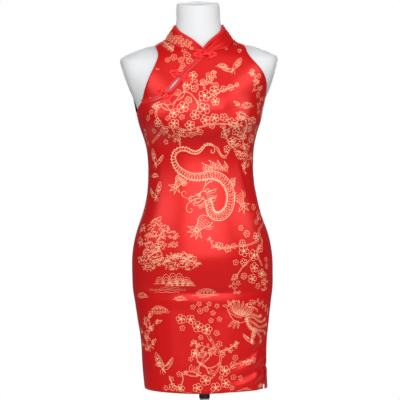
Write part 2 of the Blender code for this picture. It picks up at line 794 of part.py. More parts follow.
def form_ring(height, further=0.0):
    ring, inset = [], read(SKIN_TO_FORM, height, 1) + further
    for k in range(FORM_COLUMNS):
        turn = 2 * math.pi * k / FORM_COLUMNS
        share = bare(turn, height)
        point = on_skin(turn, height, read(STUMPS, height, 1) * share - inset * (1 - share))
        if share:
            end = read(STUMPS, height, 2) + STUMP_SLANT * point.y
            point.x = max(-end, min(end, point.x))
        if height > 1.42:
            point.z = height
        ring.append(point)
    return ring


def slanted(ring, drop=0.0):
    for point in ring:
        point.z += NECK_SLANT * point.y - drop
    return ring


rings = [form_ring(FORM_HEIGHTS[0], FOOT_ROUND)]
for point in rings[0]:
    point.z = FORM_HEIGHTS[0] - FOOT_ROUND
rings += [form_ring(height) for height in FORM_HEIGHTS[:-1]]
rings += [slanted(form_ring(NECK_TOP), NECK_ROUND), slanted(form_ring(NECK_TOP, NECK_ROUND))]

form = bmesh.new()
loops = [[form.verts.new(point) for point in ring] for ring in rings]
for low, high in zip(loops, loops[1:]):
    for k in range(FORM_COLUMNS):
        after = (k + 1) % FORM_COLUMNS
        form.faces.new((low[k], low[after], high[after], high[k]))
form.faces.new(list(reversed(loops[0])))
form.faces.new(loops[-1])
finish("torso", split(form), FORM_SHELL)


# ------------------------------------------------------------------ the stand
def turned(name, profile, finish_material, segments=32):
    """A solid of revolution about the Z axis from (radius, height) pairs, top to bottom."""
    bm = bmesh.new()
    verts = [bm.verts.new((radius, 0.0, height)) for radius, height in profile]
    for start, end in zip(verts, verts[1:]):
        bm.edges.new((start, end))
    made = finish(name, bm, finish_material)
    spin = made.modifiers.new("turn", "SCREW")
    spin.steps = segments
    spin.render_steps = segments
    spin.use_merge_vertices = True
    spin.merge_threshold = 1e-5
    return made


FORM_UNDERSIDE = FORM_HEIGHTS[0] - FOOT_ROUND
BASE_BEVEL = 0.003
turned("base", ((0.0, BASE_THICKNESS + BOSS_HEIGHT), (TUBE_RADIUS + 0.004, BASE_THICKNESS + BOSS_HEIGHT),
                (BOSS_RADIUS, BASE_THICKNESS + 0.004), (BOSS_RADIUS + 0.004, BASE_THICKNESS),
                (BASE_RADIUS - BASE_BEVEL, BASE_THICKNESS), (BASE_RADIUS, BASE_THICKNESS - BASE_BEVEL),
                (BASE_RADIUS, 0.0), (0.0, 0.0)), STAND_WHITE, 48)


def rod(name, radius, low, high, finish_material):
    edge = 0.001
    turned(name, ((0.0, high), (radius - edge, high), (radius, high - edge), (radius, low + edge),
                  (radius - edge, low), (0.0, low)), finish_material, 20)


rod("pole_tube", TUBE_RADIUS, BASE_THICKNESS + BOSS_HEIGHT + SEAM, CLAMP_FOOT - SEAM, STAND_WHITE)
rod("clamp", CLAMP_RADIUS, CLAMP_FOOT, CLAMP_TOP, STAND_BLACK)
rod("pole_rod", POLE_RADIUS, CLAMP_TOP + SEAM, FORM_UNDERSIDE - SEAM, STAND_STEEL)
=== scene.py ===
# %% [markdown]
# # A red satin cheongsam on its dress form
# A cheongsam is a close-fitting dress of Chinese cut: a standing collar, an opening that runs
# slantwise from the throat to the right armhole, and corded frogs instead of buttons. This one is
# polyester satin with a gold figure printed on it, worn by a white limbless form. The lesson takes
# the plain solids of the dress and gives each the surface of its real material: first the camera
# and the light, then cloth, cord and shell, and last the figure drawn on the cloth.

import math
import random

import bmesh
import bpy
import numpy as np
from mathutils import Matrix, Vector
from mathutils.bvhtree import BVHTree


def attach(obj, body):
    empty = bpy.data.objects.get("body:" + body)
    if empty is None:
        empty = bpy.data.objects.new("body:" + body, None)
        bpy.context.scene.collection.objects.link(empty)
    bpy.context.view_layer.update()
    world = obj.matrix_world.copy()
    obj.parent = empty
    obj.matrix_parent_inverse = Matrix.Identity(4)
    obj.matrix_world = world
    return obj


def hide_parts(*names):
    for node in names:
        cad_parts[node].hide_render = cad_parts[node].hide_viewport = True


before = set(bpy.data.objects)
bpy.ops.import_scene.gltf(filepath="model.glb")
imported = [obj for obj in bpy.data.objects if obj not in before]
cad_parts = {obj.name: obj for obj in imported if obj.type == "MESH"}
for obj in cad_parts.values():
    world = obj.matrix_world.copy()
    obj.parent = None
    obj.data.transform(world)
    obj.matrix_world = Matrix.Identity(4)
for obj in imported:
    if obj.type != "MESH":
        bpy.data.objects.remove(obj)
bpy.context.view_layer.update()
MM = 0.001


# %% [markdown]
# ## Camera, floor and light
# The dress is seen from straight in front, a little over three metres away with a long lens, so
# that the figure on it is not bent. The camera leans by about a degree. The light is a studio's: a
# large soft box in front, a weak one above, one on each side and one behind, with white paper all
# round. Satin shows its form only through broad reflections, so the boxes are wide and few: the one
# in front lights the bust and the belly, and the two at the sides draw the hips' long highlights.

# %% Camera
CAMERA_AWAY = 3.2
CAMERA_HEIGHT = 1.024
CAMERA_LEAN = math.radians(0.955)
VIEW_ANGLE = math.radians(16.4)
VIEW_SIDE = 400          # the view's side, counted in small squares

camera_data = bpy.data.cameras.new("camera")
camera_data.angle = VIEW_ANGLE
camera = bpy.data.objects.new("camera", camera_data)
camera.location = (-0.0028, -CAMERA_AWAY, CAMERA_HEIGHT)
camera.rotation_euler = (math.radians(90), CAMERA_LEAN, 0)
bpy.context.scene.collection.objects.link(camera)
bpy.context.scene.camera = camera
bpy.context.scene.view_settings.view_transform = "Standard"
bpy.context.view_layer.update()
SQUARE = 2 * math.tan(VIEW_ANGLE / 2) / VIEW_SIDE


def sight(px, py):
    """The line of sight through a place in the view, counted from its top left corner."""
    near = Vector(((px - VIEW_SIDE / 2) * SQUARE, (VIEW_SIDE / 2 - py) * SQUARE, -1.0))
    return camera.matrix_world.translation, (camera.matrix_world.to_3x3() @ near).normalized()


print("camera: lens", round(camera_data.lens, 1), "mm")


# %% Colours, nodes and lights
def colour(code):
    """An sRGB hex colour as linear light."""
    parts = [int(code[i:i + 2], 16) / 255 for i in (1, 3, 5)]
    return tuple(c / 12.92 if c <= 0.04045 else ((c + 0.055) / 1.055)**2.4 for c in parts) + (1.0,)


def add(tree, kind, settings=(), links=()):
    """Adds one node; settings are (input or property, value), links are (input, output)."""
    node = tree.nodes.new(kind)
    for name, value in settings:
        if isinstance(name, str) and hasattr(node, name):
            setattr(node, name, value)
        else:
            node.inputs[name].default_value = value
    for name, output in links:
        tree.links.new(output, node.inputs[name])
    return node


def area_light(name, place, aim, size, power):
    data = bpy.data.lights.new(name, "AREA")
    data.shape = "RECTANGLE"
    data.size, data.size_y = size
    data.energy = power
    light = bpy.data.objects.new(name, data)
    light.location = place
    light.rotation_euler = (Vector(aim) - Vector(place)).to_track_quat("-Z", "Y").to_euler()
    bpy.context.scene.collection.objects.link(light)


# place, the point that it aims at, size in metres, and watts
area_light("box_above", (0.1, -1.2, 3.0), (0, 0, 1.2), (2.6, 1.2), 11)
area_light("box_in_front", (0.2, -3.4, 1.86), (0, 0, 1.1), (3.0, 1.8), 101)
area_light("box_left", (-2.6, -1.7, 2.4), (0, 0, 1.1), (2.6, 1.6), 50)
area_light("box_right", (2.8, -1.7, 2.4), (0, 0, 1.1), (2.6, 1.6), 52)
area_light("soft_box_behind", (0.0, 2.9, 2.0), (0, 0, 1.0), (2.6, 1.4), 84)
print("lights:", len(bpy.data.lights))

# %% White paper all round, and the floor
world = bpy.data.worlds.new("white_paper")
world.use_nodes = True
bpy.context.scene.world = world
paper = world.node_tree
paper.nodes.clear()
seen = add(paper, "ShaderNodeLightPath")
# what the paper lights the dress with, and how white it is behind it
room = add(paper, "ShaderNodeBackground", [("Color", colour("#ffffff")), ("Strength", 0.10)])
plain = add(paper, "ShaderNodeBackground", [("Color", colour("#ffffff")), ("Strength", 1.0)])
both = add(paper, "ShaderNodeMixShader", (),
           [(0, seen.outputs["Is Camera Ray"]), (1, room.outputs[0]), (2, plain.outputs[0])])
add(paper, "ShaderNodeOutputWorld", (), [("Surface", both.outputs[0])])

FLOOR_RADIUS = 3.4       # metres
floor_bm = bmesh.new()
bmesh.ops.create_circle(floor_bm, cap_ends=True, segments=96, radius=FLOOR_RADIUS)
bmesh.ops.translate(floor_bm, verts=floor_bm.verts, vec=(0, 0, -0.5 * MM))
floor_mesh = bpy.data.meshes.new("floor")
floor_bm.to_mesh(floor_mesh)
floor_bm.free()
floor = bpy.data.objects.new("floor", floor_mesh)
bpy.context.scene.collection.objects.link(floor)
print("floor across:", 2 * FLOOR_RADIUS, "m")


# %% [markdown]
# ## Materials
# Each is named for what it is. Satin is a weave whose threads float over each other, so it is
# smooth and shines broadly; real satin reflects in its own colour, so the reflection is tinted red.
# Its threads are a fraction of a millimetre apart, too fine to see, so a bump of low ribs stands
# for them. The gold is a pigment with mica in it, printed on the face, so it is rougher than the
# satin and stands up slightly. The form is lacquered glass fibre, matt and a little grey.

# %% The materials' small helper and the plain ones
def surface(name, base, roughness, **sockets):
    """A Principled surface; other values are set on the shader's own sockets."""
    made = bpy.data.materials.new(name)
    made.use_nodes = True
    shader = made.node_tree.nodes["Principled BSDF"]
    shader.inputs["Base Color"].default_value = colour(base)
    shader.inputs["Roughness"].default_value = roughness
    for socket, value in sockets.items():
        shader.inputs[socket.replace("_", " ")].default_value = value
    made.diffuse_color = colour(base)
    return made


def bumped(made, coordinate, height_nodes, strength, distance):
    """Joins the height that height_nodes(tree, vector) gives to a material's normal."""
    tree = made.node_tree
    where = add(tree, "ShaderNodeTexCoord")
    height = height_nodes(tree, where.outputs[coordinate])
    bump = add(tree, "ShaderNodeBump", [("Strength", strength), ("Distance", distance)],
               [("Height", height)])
    tree.links.new(bump.outputs["Normal"], tree.nodes["Principled BSDF"].inputs["Normal"])
    return made


WAVE_UNIT = math.pi / 10     # a wave texture of scale 1 repeats after this many metres


def rib_height(rib_mm):
    """Weft and warp ribs on a UV map in metres, one every rib_mm."""
    def build(tree, vector):
        waves = [add(tree, "ShaderNodeTexWave",
                     [("bands_direction", axis), ("Scale", WAVE_UNIT / (rib_mm * MM)),
                      ("Distortion", 0.4)], [("Vector", vector)]) for axis in ("X", "Y")]
        both = add(tree, "ShaderNodeMath", [("operation", "ADD")],
                   [(0, waves[0].outputs["Fac"]), (1, waves[1].outputs["Fac"])])
        return both.outputs[0]
    return build


# woven polyester, calendered smooth: threads 0.12 mm apart, drawn as ribs 3.77 mm apart
SATIN = bumped(surface("polyester_satin_red", "#b8090d", 0.34, IOR=1.75, Specular_IOR_Level=1.0,
                       Specular_Tint=colour("#ff625e")),
               "UV", rib_height(3.77), 0.12, 0.05 * MM)
# the same satin cut on the slant, folded and pressed, or rolled round a cord, with a soft sheen
BINDING = surface("polyester_satin_binding", "#c90f14", 0.36, Sheen_Weight=0.15,
                  Sheen_Roughness=0.4, Sheen_Tint=colour("#ff8a80"))
CORD = surface("satin_rouleau_cord", "#ef1419", 0.38, Sheen_Weight=0.1, Sheen_Roughness=0.4)
# a pale metallic pigment in a clear binder, screened on
GOLD = surface("mica_gold_print", "#fac69e", 0.42, Specular_IOR_Level=0.7)
# sprayed and rubbed down, so that light spreads evenly over it
SHELL = surface("glass_fibre_satin_lacquer", "#c8c9ca", 0.5, Specular_IOR_Level=0.25)
# the stand: sprayed powder, moulded nylon and ground bar
COAT = surface("powder_coat_white", "#e8e8e8", 0.35)
NYLON = surface("moulded_nylon_black", "#101010", 0.4)
STEEL = surface("ground_steel_bright", "#b8babd", 0.25, Metallic=1.0)
FLOOR = surface("matt_paper_grey", "#b2b2b2", 0.9)
floor_mesh.materials.append(FLOOR)
print("materials:", len(bpy.data.materials))


# %% [markdown]
# ## The cloth of the panels
# The dress is cut in three: front, back, and the small yoke above the slanting opening. Each solid
# is a wall with an outer and an inner face. Only the outer face is wanted as the cloth's surface,
# so the inner one and the rims are cut away, the loose triangles are joined to squares, and the
# net is made finer. The wall comes back at the end from Solidify.
#
# The dress is read in flat measures: `along`, the distance round the body from the centre front
# (left of the wearer is positive), and `height`. Creases, threads and the printed figure are all
# laid out in these, as they were on the flat cloth.

# %% Outer faces of the solids
WALL = 1.2 * MM          # a little thicker than real satin, with its turned edges
SUBDIVISIONS = 2
LIP_OUT, LIP_IN = 0.13 * MM, 0.6 * MM    # how far a turned edge goes outward and inward


def merged_copy(node):
    bm = bmesh.new()
    bm.from_mesh(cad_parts[node].data)
    bmesh.ops.remove_doubles(bm, verts=bm.verts, dist=0.01 * MM)
    return bm


def joined_parts(bm):
    """The faces of a net in groups that hang together."""
    parts, seen = [], set()
    for start in bm.faces:
        if start in seen:
            continue
        part, queue = [], [start]
        seen.add(start)
        while queue:
            face = queue.pop()
            part.append(face)
            for edge in face.edges:
                for other in edge.link_faces:
                    if other not in seen:
                        seen.add(other)
                        queue.append(other)
        parts.append(part)
    return parts


def outer_face(node):
    """The net of a solid's outer face: the faces that look away from the body."""
    bm = merged_copy(node)
    for face in bm.faces:
        face.smooth = True
    sharp = [edge for edge in bm.edges if edge.calc_face_angle(0) > math.radians(55)]
    bmesh.ops.split_edges(bm, edges=sharp)

    def looks_out(part):
        total = 0.0
        for face in part:
            centre = face.calc_center_median()
            total += face.calc_area() * face.normal.dot(Vector((*centre.xy, 0)).normalized())
        return total

    keep = set(max(joined_parts(bm), key=looks_out))
    bmesh.ops.delete(bm, geom=[face for face in bm.faces if face not in keep], context="FACES")
    bmesh.ops.remove_doubles(bm, verts=bm.verts, dist=0.01 * MM)
    bmesh.ops.join_triangles(bm, faces=bm.faces, angle_face_threshold=math.radians(40),
                             angle_shape_threshold=math.radians(60))
    return bm


def as_object(name, bm, finish):
    mesh = bpy.data.meshes.new(name)
    bm.to_mesh(mesh)
    bm.free()
    mesh.shade_smooth()
    made = bpy.data.objects.new(name, mesh)
    bpy.context.scene.collection.objects.link(made)
    mesh.materials.append(finish)
    return made


def modifier(piece, kind, **values):
    made = piece.modifiers.new(kind.lower(), kind)
    for key, value in values.items():
        setattr(made, key, value)


def finer(piece, levels):
    """Subdivides a piece's net for good, keeping its corners."""
    modifier(piece, "SUBSURF", levels=levels, render_levels=levels,
             boundary_smooth="PRESERVE_CORNERS")
    shown = piece.evaluated_get(bpy.context.evaluated_depsgraph_get())
    mesh = bpy.data.meshes.new_from_object(shown)
    piece.modifiers.clear()
    old, piece.data = piece.data, mesh
    bpy.data.meshes.remove(old)
    mesh.name = piece.name
    return piece


def turned_in(piece, lip_out=LIP_OUT, lip_in=LIP_IN):
    """Turns a cloth's edge in a little, as at a seam, so that no dark slit shows between two."""
    bm = bmesh.new()
    bm.from_mesh(piece.data)
    rim = [edge for edge in bm.edges if edge.is_boundary]
    inner = {}
    for edge in rim:
        for vert in edge.verts:
            others = [e.other_vert(vert).co for e in vert.link_edges if not e.is_boundary]
            inner[vert.index] = sum(others, Vector()) / len(others) if others else None
    made = bmesh.ops.extrude_edge_only(bm, edges=rim)["geom"]
    for vert in [part for part in made if isinstance(part, bmesh.types.BMVert)]:
        old = next(e.other_vert(vert) for e in vert.link_edges if e.other_vert(vert) not in made)
        away = inner[old.index]
        out = (old.co - away).normalized() if away else Vector()
        vert.co += out * lip_out - old.normal * lip_in
    bm.to_mesh(piece.data)
    bm.free()
    piece.data.shade_smooth()
    return piece


# %% The three panels
PANELS = {}
for node in ("front_panel", "yoke_panel", "back_panel"):
    piece = as_object(node.replace("panel", "cloth"), outer_face(node), SATIN)
    PANELS[node] = finer(piece, SUBDIVISIONS)
    print(piece.name, len(piece.data.polygons), "faces")

# %% [markdown]
# ## Flat measures
# To read a place on the dress in flat measures, the body is walked round at many heights, with a
# ray to the cloth every few degrees, and the steps are added up from the centre front. The same
# table read backwards says where a flat place lies on the body.

# %% A table of the distance round the body
LOWEST, HIGHEST, ROW = 0.586, 1.402, 0.004      # metres
TURN = math.radians(3)
TURNS = 60               # steps each way from the centre front
TURN_TABLE = np.arange(-TURNS, TURNS + 1) * TURN
FAR, USUAL_REACH = 0.5, 0.15    # metres: where a ray starts, and the body's rough radius


def nets(pieces):
    """One search tree over several pieces, and the number of the piece for each of its faces."""
    points, faces, owners = [], [], []
    for number, piece in enumerate(pieces):
        start = len(points)
        points += [vert.co.copy() for vert in piece.data.vertices]
        for face in piece.data.polygons:
            faces.append([start + v for v in face.vertices])
            owners.append(number)
    return BVHTree.FromPolygons(points, faces), owners


def inward(tree, turn, height):
    """Where a level ray from outside towards the body's middle meets the cloth."""
    out = Vector((math.sin(turn), -math.cos(turn), 0.0))
    return tree.ray_cast(Vector((0, 0, height)) + out * FAR, -out)


def faces_out(normal, turn):
    return normal.x * math.sin(turn) - normal.y * math.cos(turn) > 0


def walk_round(tree):
    """Distances round the body for every turn, row by row; holes are bridged from edge to edge."""
    table, reach = [], np.full(len(TURN_TABLE), USUAL_REACH)
    for row in range(int((HIGHEST - LOWEST) / ROW) + 1):
        met = []             # turn and distance from the middle, where there is cloth
        for turn in TURN_TABLE:
            hit, normal, _, _ = inward(tree, turn, LOWEST + row * ROW)
            if hit is not None and faces_out(normal, turn):
                met.append((turn, hit.xy.length))
        if met:
            reach = np.interp(TURN_TABLE, *zip(*met), period=2 * math.pi)
        x, y = reach * np.sin(TURN_TABLE), -reach * np.cos(TURN_TABLE)
        along = np.concatenate(([0.0], np.cumsum(np.hypot(np.diff(x), np.diff(y)))))
        table.append(along - along[TURNS])
    return np.array(table)


tree, owners = nets(PANELS.values())
GIRTH = walk_round(tree)


def between_rows(height):
    at = min(max((height - LOWEST) / ROW, 0.0), len(GIRTH) - 1.001)
    return int(at), at - int(at)


def turn_of(along, height):
    """The turn about the body's middle of a flat place."""
    row, part = between_rows(height)
    return float((1 - part) * np.interp(along, GIRTH[row], TURN_TABLE)
                 + part * np.interp(along, GIRTH[row + 1], TURN_TABLE))


def flat_of(point):
    """The flat place (along, height) of a point of the cloth."""
    turn = math.atan2(point.x, -point.y)
    row, part = between_rows(point.z)
    along = ((1 - part) * np.interp(turn, TURN_TABLE, GIRTH[row])
             + part * np.interp(turn, TURN_TABLE, GIRTH[row + 1]))
    return float(along), point.z


def spot(px, py):
    """The flat place seen at a place in the view."""
    origin, way = sight(px, py)
    hit = tree.ray_cast(origin, way)[0]
    if hit is None:          # beside the dress: as if it went on level with its sides
        hit = origin + way * CAMERA_AWAY
        hit = Vector((hit.x, -0.01, hit.z))
    return Vector(flat_of(hit))


HIPS = 0.905             # metres up
hip_row = GIRTH[int((HIPS - LOWEST) / ROW)]
print("round the hips:", round(float(hip_row[-1] - hip_row[0]), 3), "m")


# %% [markdown]
# ## Creases
# Stretch satin on a form lies smooth over the bust and the hips and breaks into soft folds where
# the body narrows, where it hangs free and where the vent pulls. Each fold here is a line on the
# flat cloth with a width, a height and a taper at its ends; a trough has a ridge beside it. A very
# low unevenness over all of it keeps the broad reflections from looking machined.

# %% Soft folds, laid one by one
# places in the view from the camera, then width and height in mm; a negative height is a trough
FOLDS_SEEN = (
    # under the bust and at the waist
    (((233, 141), (241, 162), (247, 180), (250, 192)), 8.0, -2.4),
    (((243, 139), (250, 160), (255, 182)), 6.0, 1.6),
    (((152, 142), (156, 160), (155, 182)), 7.0, -1.4),
    # fanning out from the vent
    (((264, 344), (256, 351), (246, 359), (234, 366)), 5.0, -2.8),
    (((265, 354), (257, 361), (247, 368), (235, 373)), 5.0, 2.6),
    (((265, 363), (257, 370), (247, 376), (234, 380)), 5.0, -3.4),
    (((265, 372), (256, 379), (246, 384), (234, 388)), 5.0, 2.4),
    (((264, 334), (255, 342), (245, 351)), 6.0, 1.6),
    # down the skirt
    (((236, 300), (228, 330), (226, 360)), 14.0, 0.9),
    (((172, 300), (170, 335), (176, 372)), 14.0, 0.9),
    (((150, 300), (153, 330), (156, 365)), 7.0, -1.2),
    # from the armholes
    (((150, 112), (158, 122), (164, 134)), 6.0, -1.0),
    (((252, 112), (244, 124), (240, 134)), 6.0, -1.0),
    # across the hips
    (((138, 290), (165, 292), (200, 293), (235, 292), (266, 289)), 5.0, -1.5),
    (((134, 258), (165, 262), (200, 263), (235, 262), (268, 257)), 28.0, 3.0),
    (((140, 298), (165, 301), (200, 302), (235, 301), (264, 297)), 12.0, 1.6),
    # the bust's fullness, and the hip's
    (((270, 117), (240, 123), (200, 130), (160, 123), (132, 119)), 24.0, 9.5),
    (((146, 112), (156, 117), (168, 121), (182, 124)), 20.0, 4.5),
    (((226, 124), (240, 120), (256, 112)), 20.0, 4.5),
    (((254, 184), (256, 203), (260, 226)), 20.0, 3.5),
)
# flat places (along, height) in metres for the sides and the back, then width and height in mm
FOLDS_HIDDEN = (
    # the small of the back, left and right
    (((0.255, 1.060), (0.300, 1.090), (0.350, 1.100)), 8.0, -2.0),
    (((0.245, 1.085), (0.300, 1.118), (0.360, 1.124)), 7.0, 1.8),
    (((-0.255, 1.065), (-0.305, 1.096), (-0.350, 1.102)), 8.0, -2.0),
    (((-0.250, 1.092), (-0.300, 1.122), (-0.355, 1.130)), 7.0, 1.6),
    (((0.330, 1.020), (0.370, 1.040), (0.400, 1.044)), 9.0, -1.6),
    (((-0.330, 1.024), (-0.372, 1.042), (-0.400, 1.046)), 9.0, -1.6),
    # behind the armholes
    (((0.235, 1.190), (0.270, 1.220), (0.300, 1.262)), 7.0, -1.8),
    (((-0.235, 1.190), (-0.275, 1.222), (-0.300, 1.262)), 7.0, -1.8),
    # down the back of the skirt
    (((0.300, 0.800), (0.304, 0.710), (0.300, 0.600)), 12.0, -1.8),
    (((0.360, 0.800), (0.366, 0.710), (0.360, 0.600)), 14.0, 1.6),
    (((-0.300, 0.800), (-0.306, 0.700), (-0.300, 0.600)), 12.0, 1.6),
    (((-0.350, 0.800), (-0.350, 0.700), (-0.356, 0.600)), 12.0, -1.6),
)
SIDE_STEP = 0.35         # a trough's ridge, against its depth
BROAD = 20.0             # a fold wider than this, in mm, is a swell with nothing beside it


# %% How high a fold stands, and the unevenness between folds


def fold_height(along, height, path, width, rise):
    """How far one fold lifts each flat place, in metres."""
    line = [Vector(place) for place in path]
    lengths = [(b - a).length for a, b in zip(line, line[1:])]
    whole, before = sum(lengths), 0.0
    nearest = np.full(along.shape, 1e9)
    share, side = np.zeros(along.shape), np.zeros(along.shape)
    for a, b, length in zip(line, line[1:], lengths):
        way = (b - a) / length
        u, v = along - a.x, height - a.y
        t = np.clip(u * way.x + v * way.y, 0, length)
        away = np.hypot(u - way.x * t, v - way.y * t)
        closer = away < nearest
        nearest = np.where(closer, away, nearest)
        share = np.where(closer, (before + t) / whole, share)
        side = np.where(closer, v * way.x - u * way.y, side)
        before += length
    taper = np.sin(np.pi * np.clip(share, 0.02, 0.98))**0.7
    broad = width > BROAD
    width = width * MM * (0.75 + 0.5 * share)
    body = np.exp(-(nearest / width)**2)
    beside = np.exp(-((side - 1.9 * width) / width)**2) * (nearest < 5 * width)
    return rise * MM * taper * (body - (0.0 if broad else SIDE_STEP) * beside)


WAVES, WAVE_SHORT, WAVE_LONG = 14, 0.045, 0.16      # how many, and their lengths in metres
WAVES_SEED = 7
UNEVEN = 0.55            # share of a millimetre for a wave 0.1 m long


def uneven(along, height):
    """A low, slow unevenness made of a few long waves at odd angles."""
    waves = random.Random(WAVES_SEED)
    total = np.zeros(along.shape)
    for _ in range(WAVES):
        angle, length = waves.uniform(0, math.pi), waves.uniform(WAVE_SHORT, WAVE_LONG)
        total += np.sin((along * math.cos(angle) + height * math.sin(angle)) * 2 * math.pi / length
                        + waves.uniform(0, 2 * math.pi)) * length
    return total


HEM_FROM = 0.68          # metres up, where the skirt starts to hang
HEM_DROP, HEM_RAISED, HEM_DRAWN_IN = 5.0 * MM, 3.5 * MM, 5.0 * MM
HEM_HALF, SAG_HALF = 0.13, 0.085      # metres from the middle: the hem's side, and its sag's


def hang(place):
    """How the lowest part hangs: the hem sags in front, and its right side is drawn in and up."""
    share = min(1.0, max(0.0, (HEM_FROM - place.z) / (HEM_FROM - LOWEST)))
    share *= share
    side = max(0.0, -place.x / HEM_HALF)
    sag = math.exp(-(place.x / SAG_HALF)**2) if place.y < 0 else 0.0
    down = HEM_DROP * sag - HEM_RAISED * side**4
    return Vector((HEM_DRAWN_IN * min(side, 1.0), 0, -down)) * share


# %% Creasing the panels
FOLDS = [([spot(*place) for place in path], width, rise) for path, width, rise in FOLDS_SEEN]
FOLDS += [([Vector(place) for place in path], width, rise) for path, width, rise in FOLDS_HIDDEN]


def crease(piece):
    mesh = piece.data
    flats = np.array([flat_of(vert.co) for vert in mesh.vertices])
    along, height = flats[:, 0], flats[:, 1]
    lift = uneven(along, height) * UNEVEN * MM
    for path, width, rise in FOLDS:
        lift = lift + fold_height(along, height, path, width, rise)
    normals = [vert.normal.copy() for vert in mesh.vertices]
    for vert, normal, rise in zip(mesh.vertices, normals, lift):
        vert.co += normal * float(rise)
        vert.co += hang(vert.co)
    threads = mesh.uv_layers.new(name="flat")
    for loop in mesh.loops:
        threads.data[loop.index].uv = flats[loop.vertex_index]
    mesh.update()


for piece in PANELS.values():
    crease(piece)
tree, owners = nets(PANELS.values())     # so that what is laid on the cloth follows its folds
print("folds:", len(FOLDS))

# %% [markdown]
# ## Thickness, turned edges and the gap in the opening
# A cloth's edge is turned under, so from outside it is a soft rounded line and never a slit. The
# net's rim is extruded a little out and in, and Solidify then gives the wall. Between the second
# and the third frog the opening gapes, so both sides of it are drawn back there.

# %% Finishing the panels
def walled(piece, wall=WALL):
    """Gives a cloth its thickness, inwards from its outer face."""
    modifier(piece, "SOLIDIFY", thickness=wall, offset=-1.0, use_rim=True)


def area(piece):
    return sum(face.area for face in piece.data.polygons)


LENS = (Vector((-0.0420, 0, 1.3003)), Vector((-0.0727, 0, 1.2650)))    # the gap's two ends
LENS_OPEN, LENS_NEAR = 0.6 * MM, 14 * MM      # how far each side moves, and how far away it fades


def pulled_open(piece, side):
    """Draws a piece back from the lens-shaped gap; side is 1 above it and -1 below."""
    way = LENS[1] - LENS[0]
    up = Vector((way.z, 0, -way.x)).normalized() * (1 if way.x < 0 else -1)
    for vert in piece.data.vertices:
        off = vert.co - LENS[0]
        share, away = off.dot(way) / way.length_squared, abs(off.dot(up))
        if 0 < share < 1 and away < LENS_NEAR and vert.co.y < 0:
            vert.co += up * side * LENS_OPEN * math.sin(math.pi * share) * (1 - away / LENS_NEAR)


def stands_for(piece, slot, *nodes):
    """Sets a finished piece to ride on the body and hides its solids; slot is not used."""
    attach(piece, "root")
    if nodes:
        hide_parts(*nodes)
    return piece


pulled_open(PANELS["yoke_panel"], 1)
pulled_open(PANELS["front_panel"], -1)
for node, piece in PANELS.items():
    walled(turned_in(piece))
    stands_for(piece, "satin", node)
    print(piece.name, "flat area", round(area(piece), 4), "m2")

# %% [markdown]
# ## Collar and bindings
# The collar is a stiffened band of the same satin. Its wearer's-left half is drawn into soft
# gathers by the first frog. Plain satin strips, cut on the slant and folded round, bind its top
# edge and both edges of the opening; they are the solids' own strips with rounded sides.

# %% Collar
collar = finer(as_object("collar_cloth", outer_face("collar_band"), SATIN), 2)
COLLAR_REACH = 0.065                          # the collar's mean distance from its middle
COLLAR_WALL = 1.5 * MM                        # satin over a stiff interlining
GATHERS = (16, 28, 40, 53, 68)                # their slopes where they leave the frog, in degrees
GATHER_WIDE, GATHER_DEEP = 4.0, 2.6           # degrees, mm
GATHER_FROM = Vector((0.002, 1.350))          # flat place where they start
GATHER_FULL, GATHER_FADE = 0.016, 0.075       # metres from there: full depth, and nearly gone


def gather(piece):
    mesh = piece.data
    threads = mesh.uv_layers.new(name="flat")
    places = []
    for vert in mesh.vertices:
        turn = math.degrees(math.atan2(vert.co.x, -vert.co.y))
        places.append((math.radians(turn) * COLLAR_REACH, vert.co.z))
        fan = Vector(places[-1]) - GATHER_FROM
        slope, reach = math.degrees(math.atan2(fan.y, fan.x)), fan.length
        lift = sum(math.exp(-((slope - at) / GATHER_WIDE)**2) for at in GATHERS)
        lift *= min(1, reach / GATHER_FULL) * math.exp(-(reach / GATHER_FADE)**2)
        vert.co += vert.normal * (-GATHER_DEEP * MM * lift)
    for loop in mesh.loops:
        threads.data[loop.index].uv = places[loop.vertex_index]


gather(collar)
walled(turned_in(collar, 1.1 * MM, 1.2 * MM), COLLAR_WALL)
stands_for(collar, "satin", "collar_band")
print("collar area", round(area(collar), 4), "m2")


# %% Bindings
def bound_edge(node):
    """A strip's solid with soft rounded edges."""
    bm = merged_copy(node)
    bmesh.ops.join_triangles(bm, faces=bm.faces, angle_face_threshold=math.radians(30),
                             angle_shape_threshold=math.radians(60))
    sharp = [edge for edge in bm.edges if edge.calc_face_angle(0) > math.radians(50)]
    bmesh.ops.bevel(bm, geom=sharp, offset=0.38 * MM, offset_type="OFFSET", segments=2, profile=0.5,
                    affect="EDGES", material=-1)
    piece = as_object(node + "_strip", bm, BINDING)
    modifier(piece, "SUBSURF", levels=1, render_levels=1)
    return stands_for(piece, "binding", node)


STRIPS = [bound_edge(node) for node in ("collar_binding", "placket_binding_front",
                                        "placket_binding_yoke")]
pulled_open(STRIPS[1], -1)
pulled_open(STRIPS[2], 1)
print("strips:", [piece.name for piece in STRIPS])

# %% [markdown]
# ## Frogs
# A frog is a pair of loops of satin cord sewn flat, with a knotted cord ball on one that slips
# through the other. Each loop is a trefoil laid double, two cords side by side, and its two ends
# run to the knot. A curve with a round bevel makes the cord; the ball is three rings round a core.

# %% Where the frogs are
# knot across and height, then each loop's middle across and height, in metres
FROGS = (
    ((0.0135, 1.3505), (-0.0015, 1.3500), (0.0300, 1.3500)),
    ((-0.0420, 1.3003), (-0.0556, 1.3071), (-0.0290, 1.2945)),
    ((-0.0727, 1.2650), (-0.0890, 1.2670), (-0.0710, 1.2500)),
)
CORD_RADIUS = 1.45 * MM
CORD_APART = 1.4 * MM    # half the distance between the two cords of a pair
TREFOIL = 6.3 * MM       # mean radius
LOBE = 0.42              # how far its three lobes go out and in, as a share of that
KNOT = 4.0 * MM          # radius of the ball
below, _ = nets([*PANELS.values(), *STRIPS])


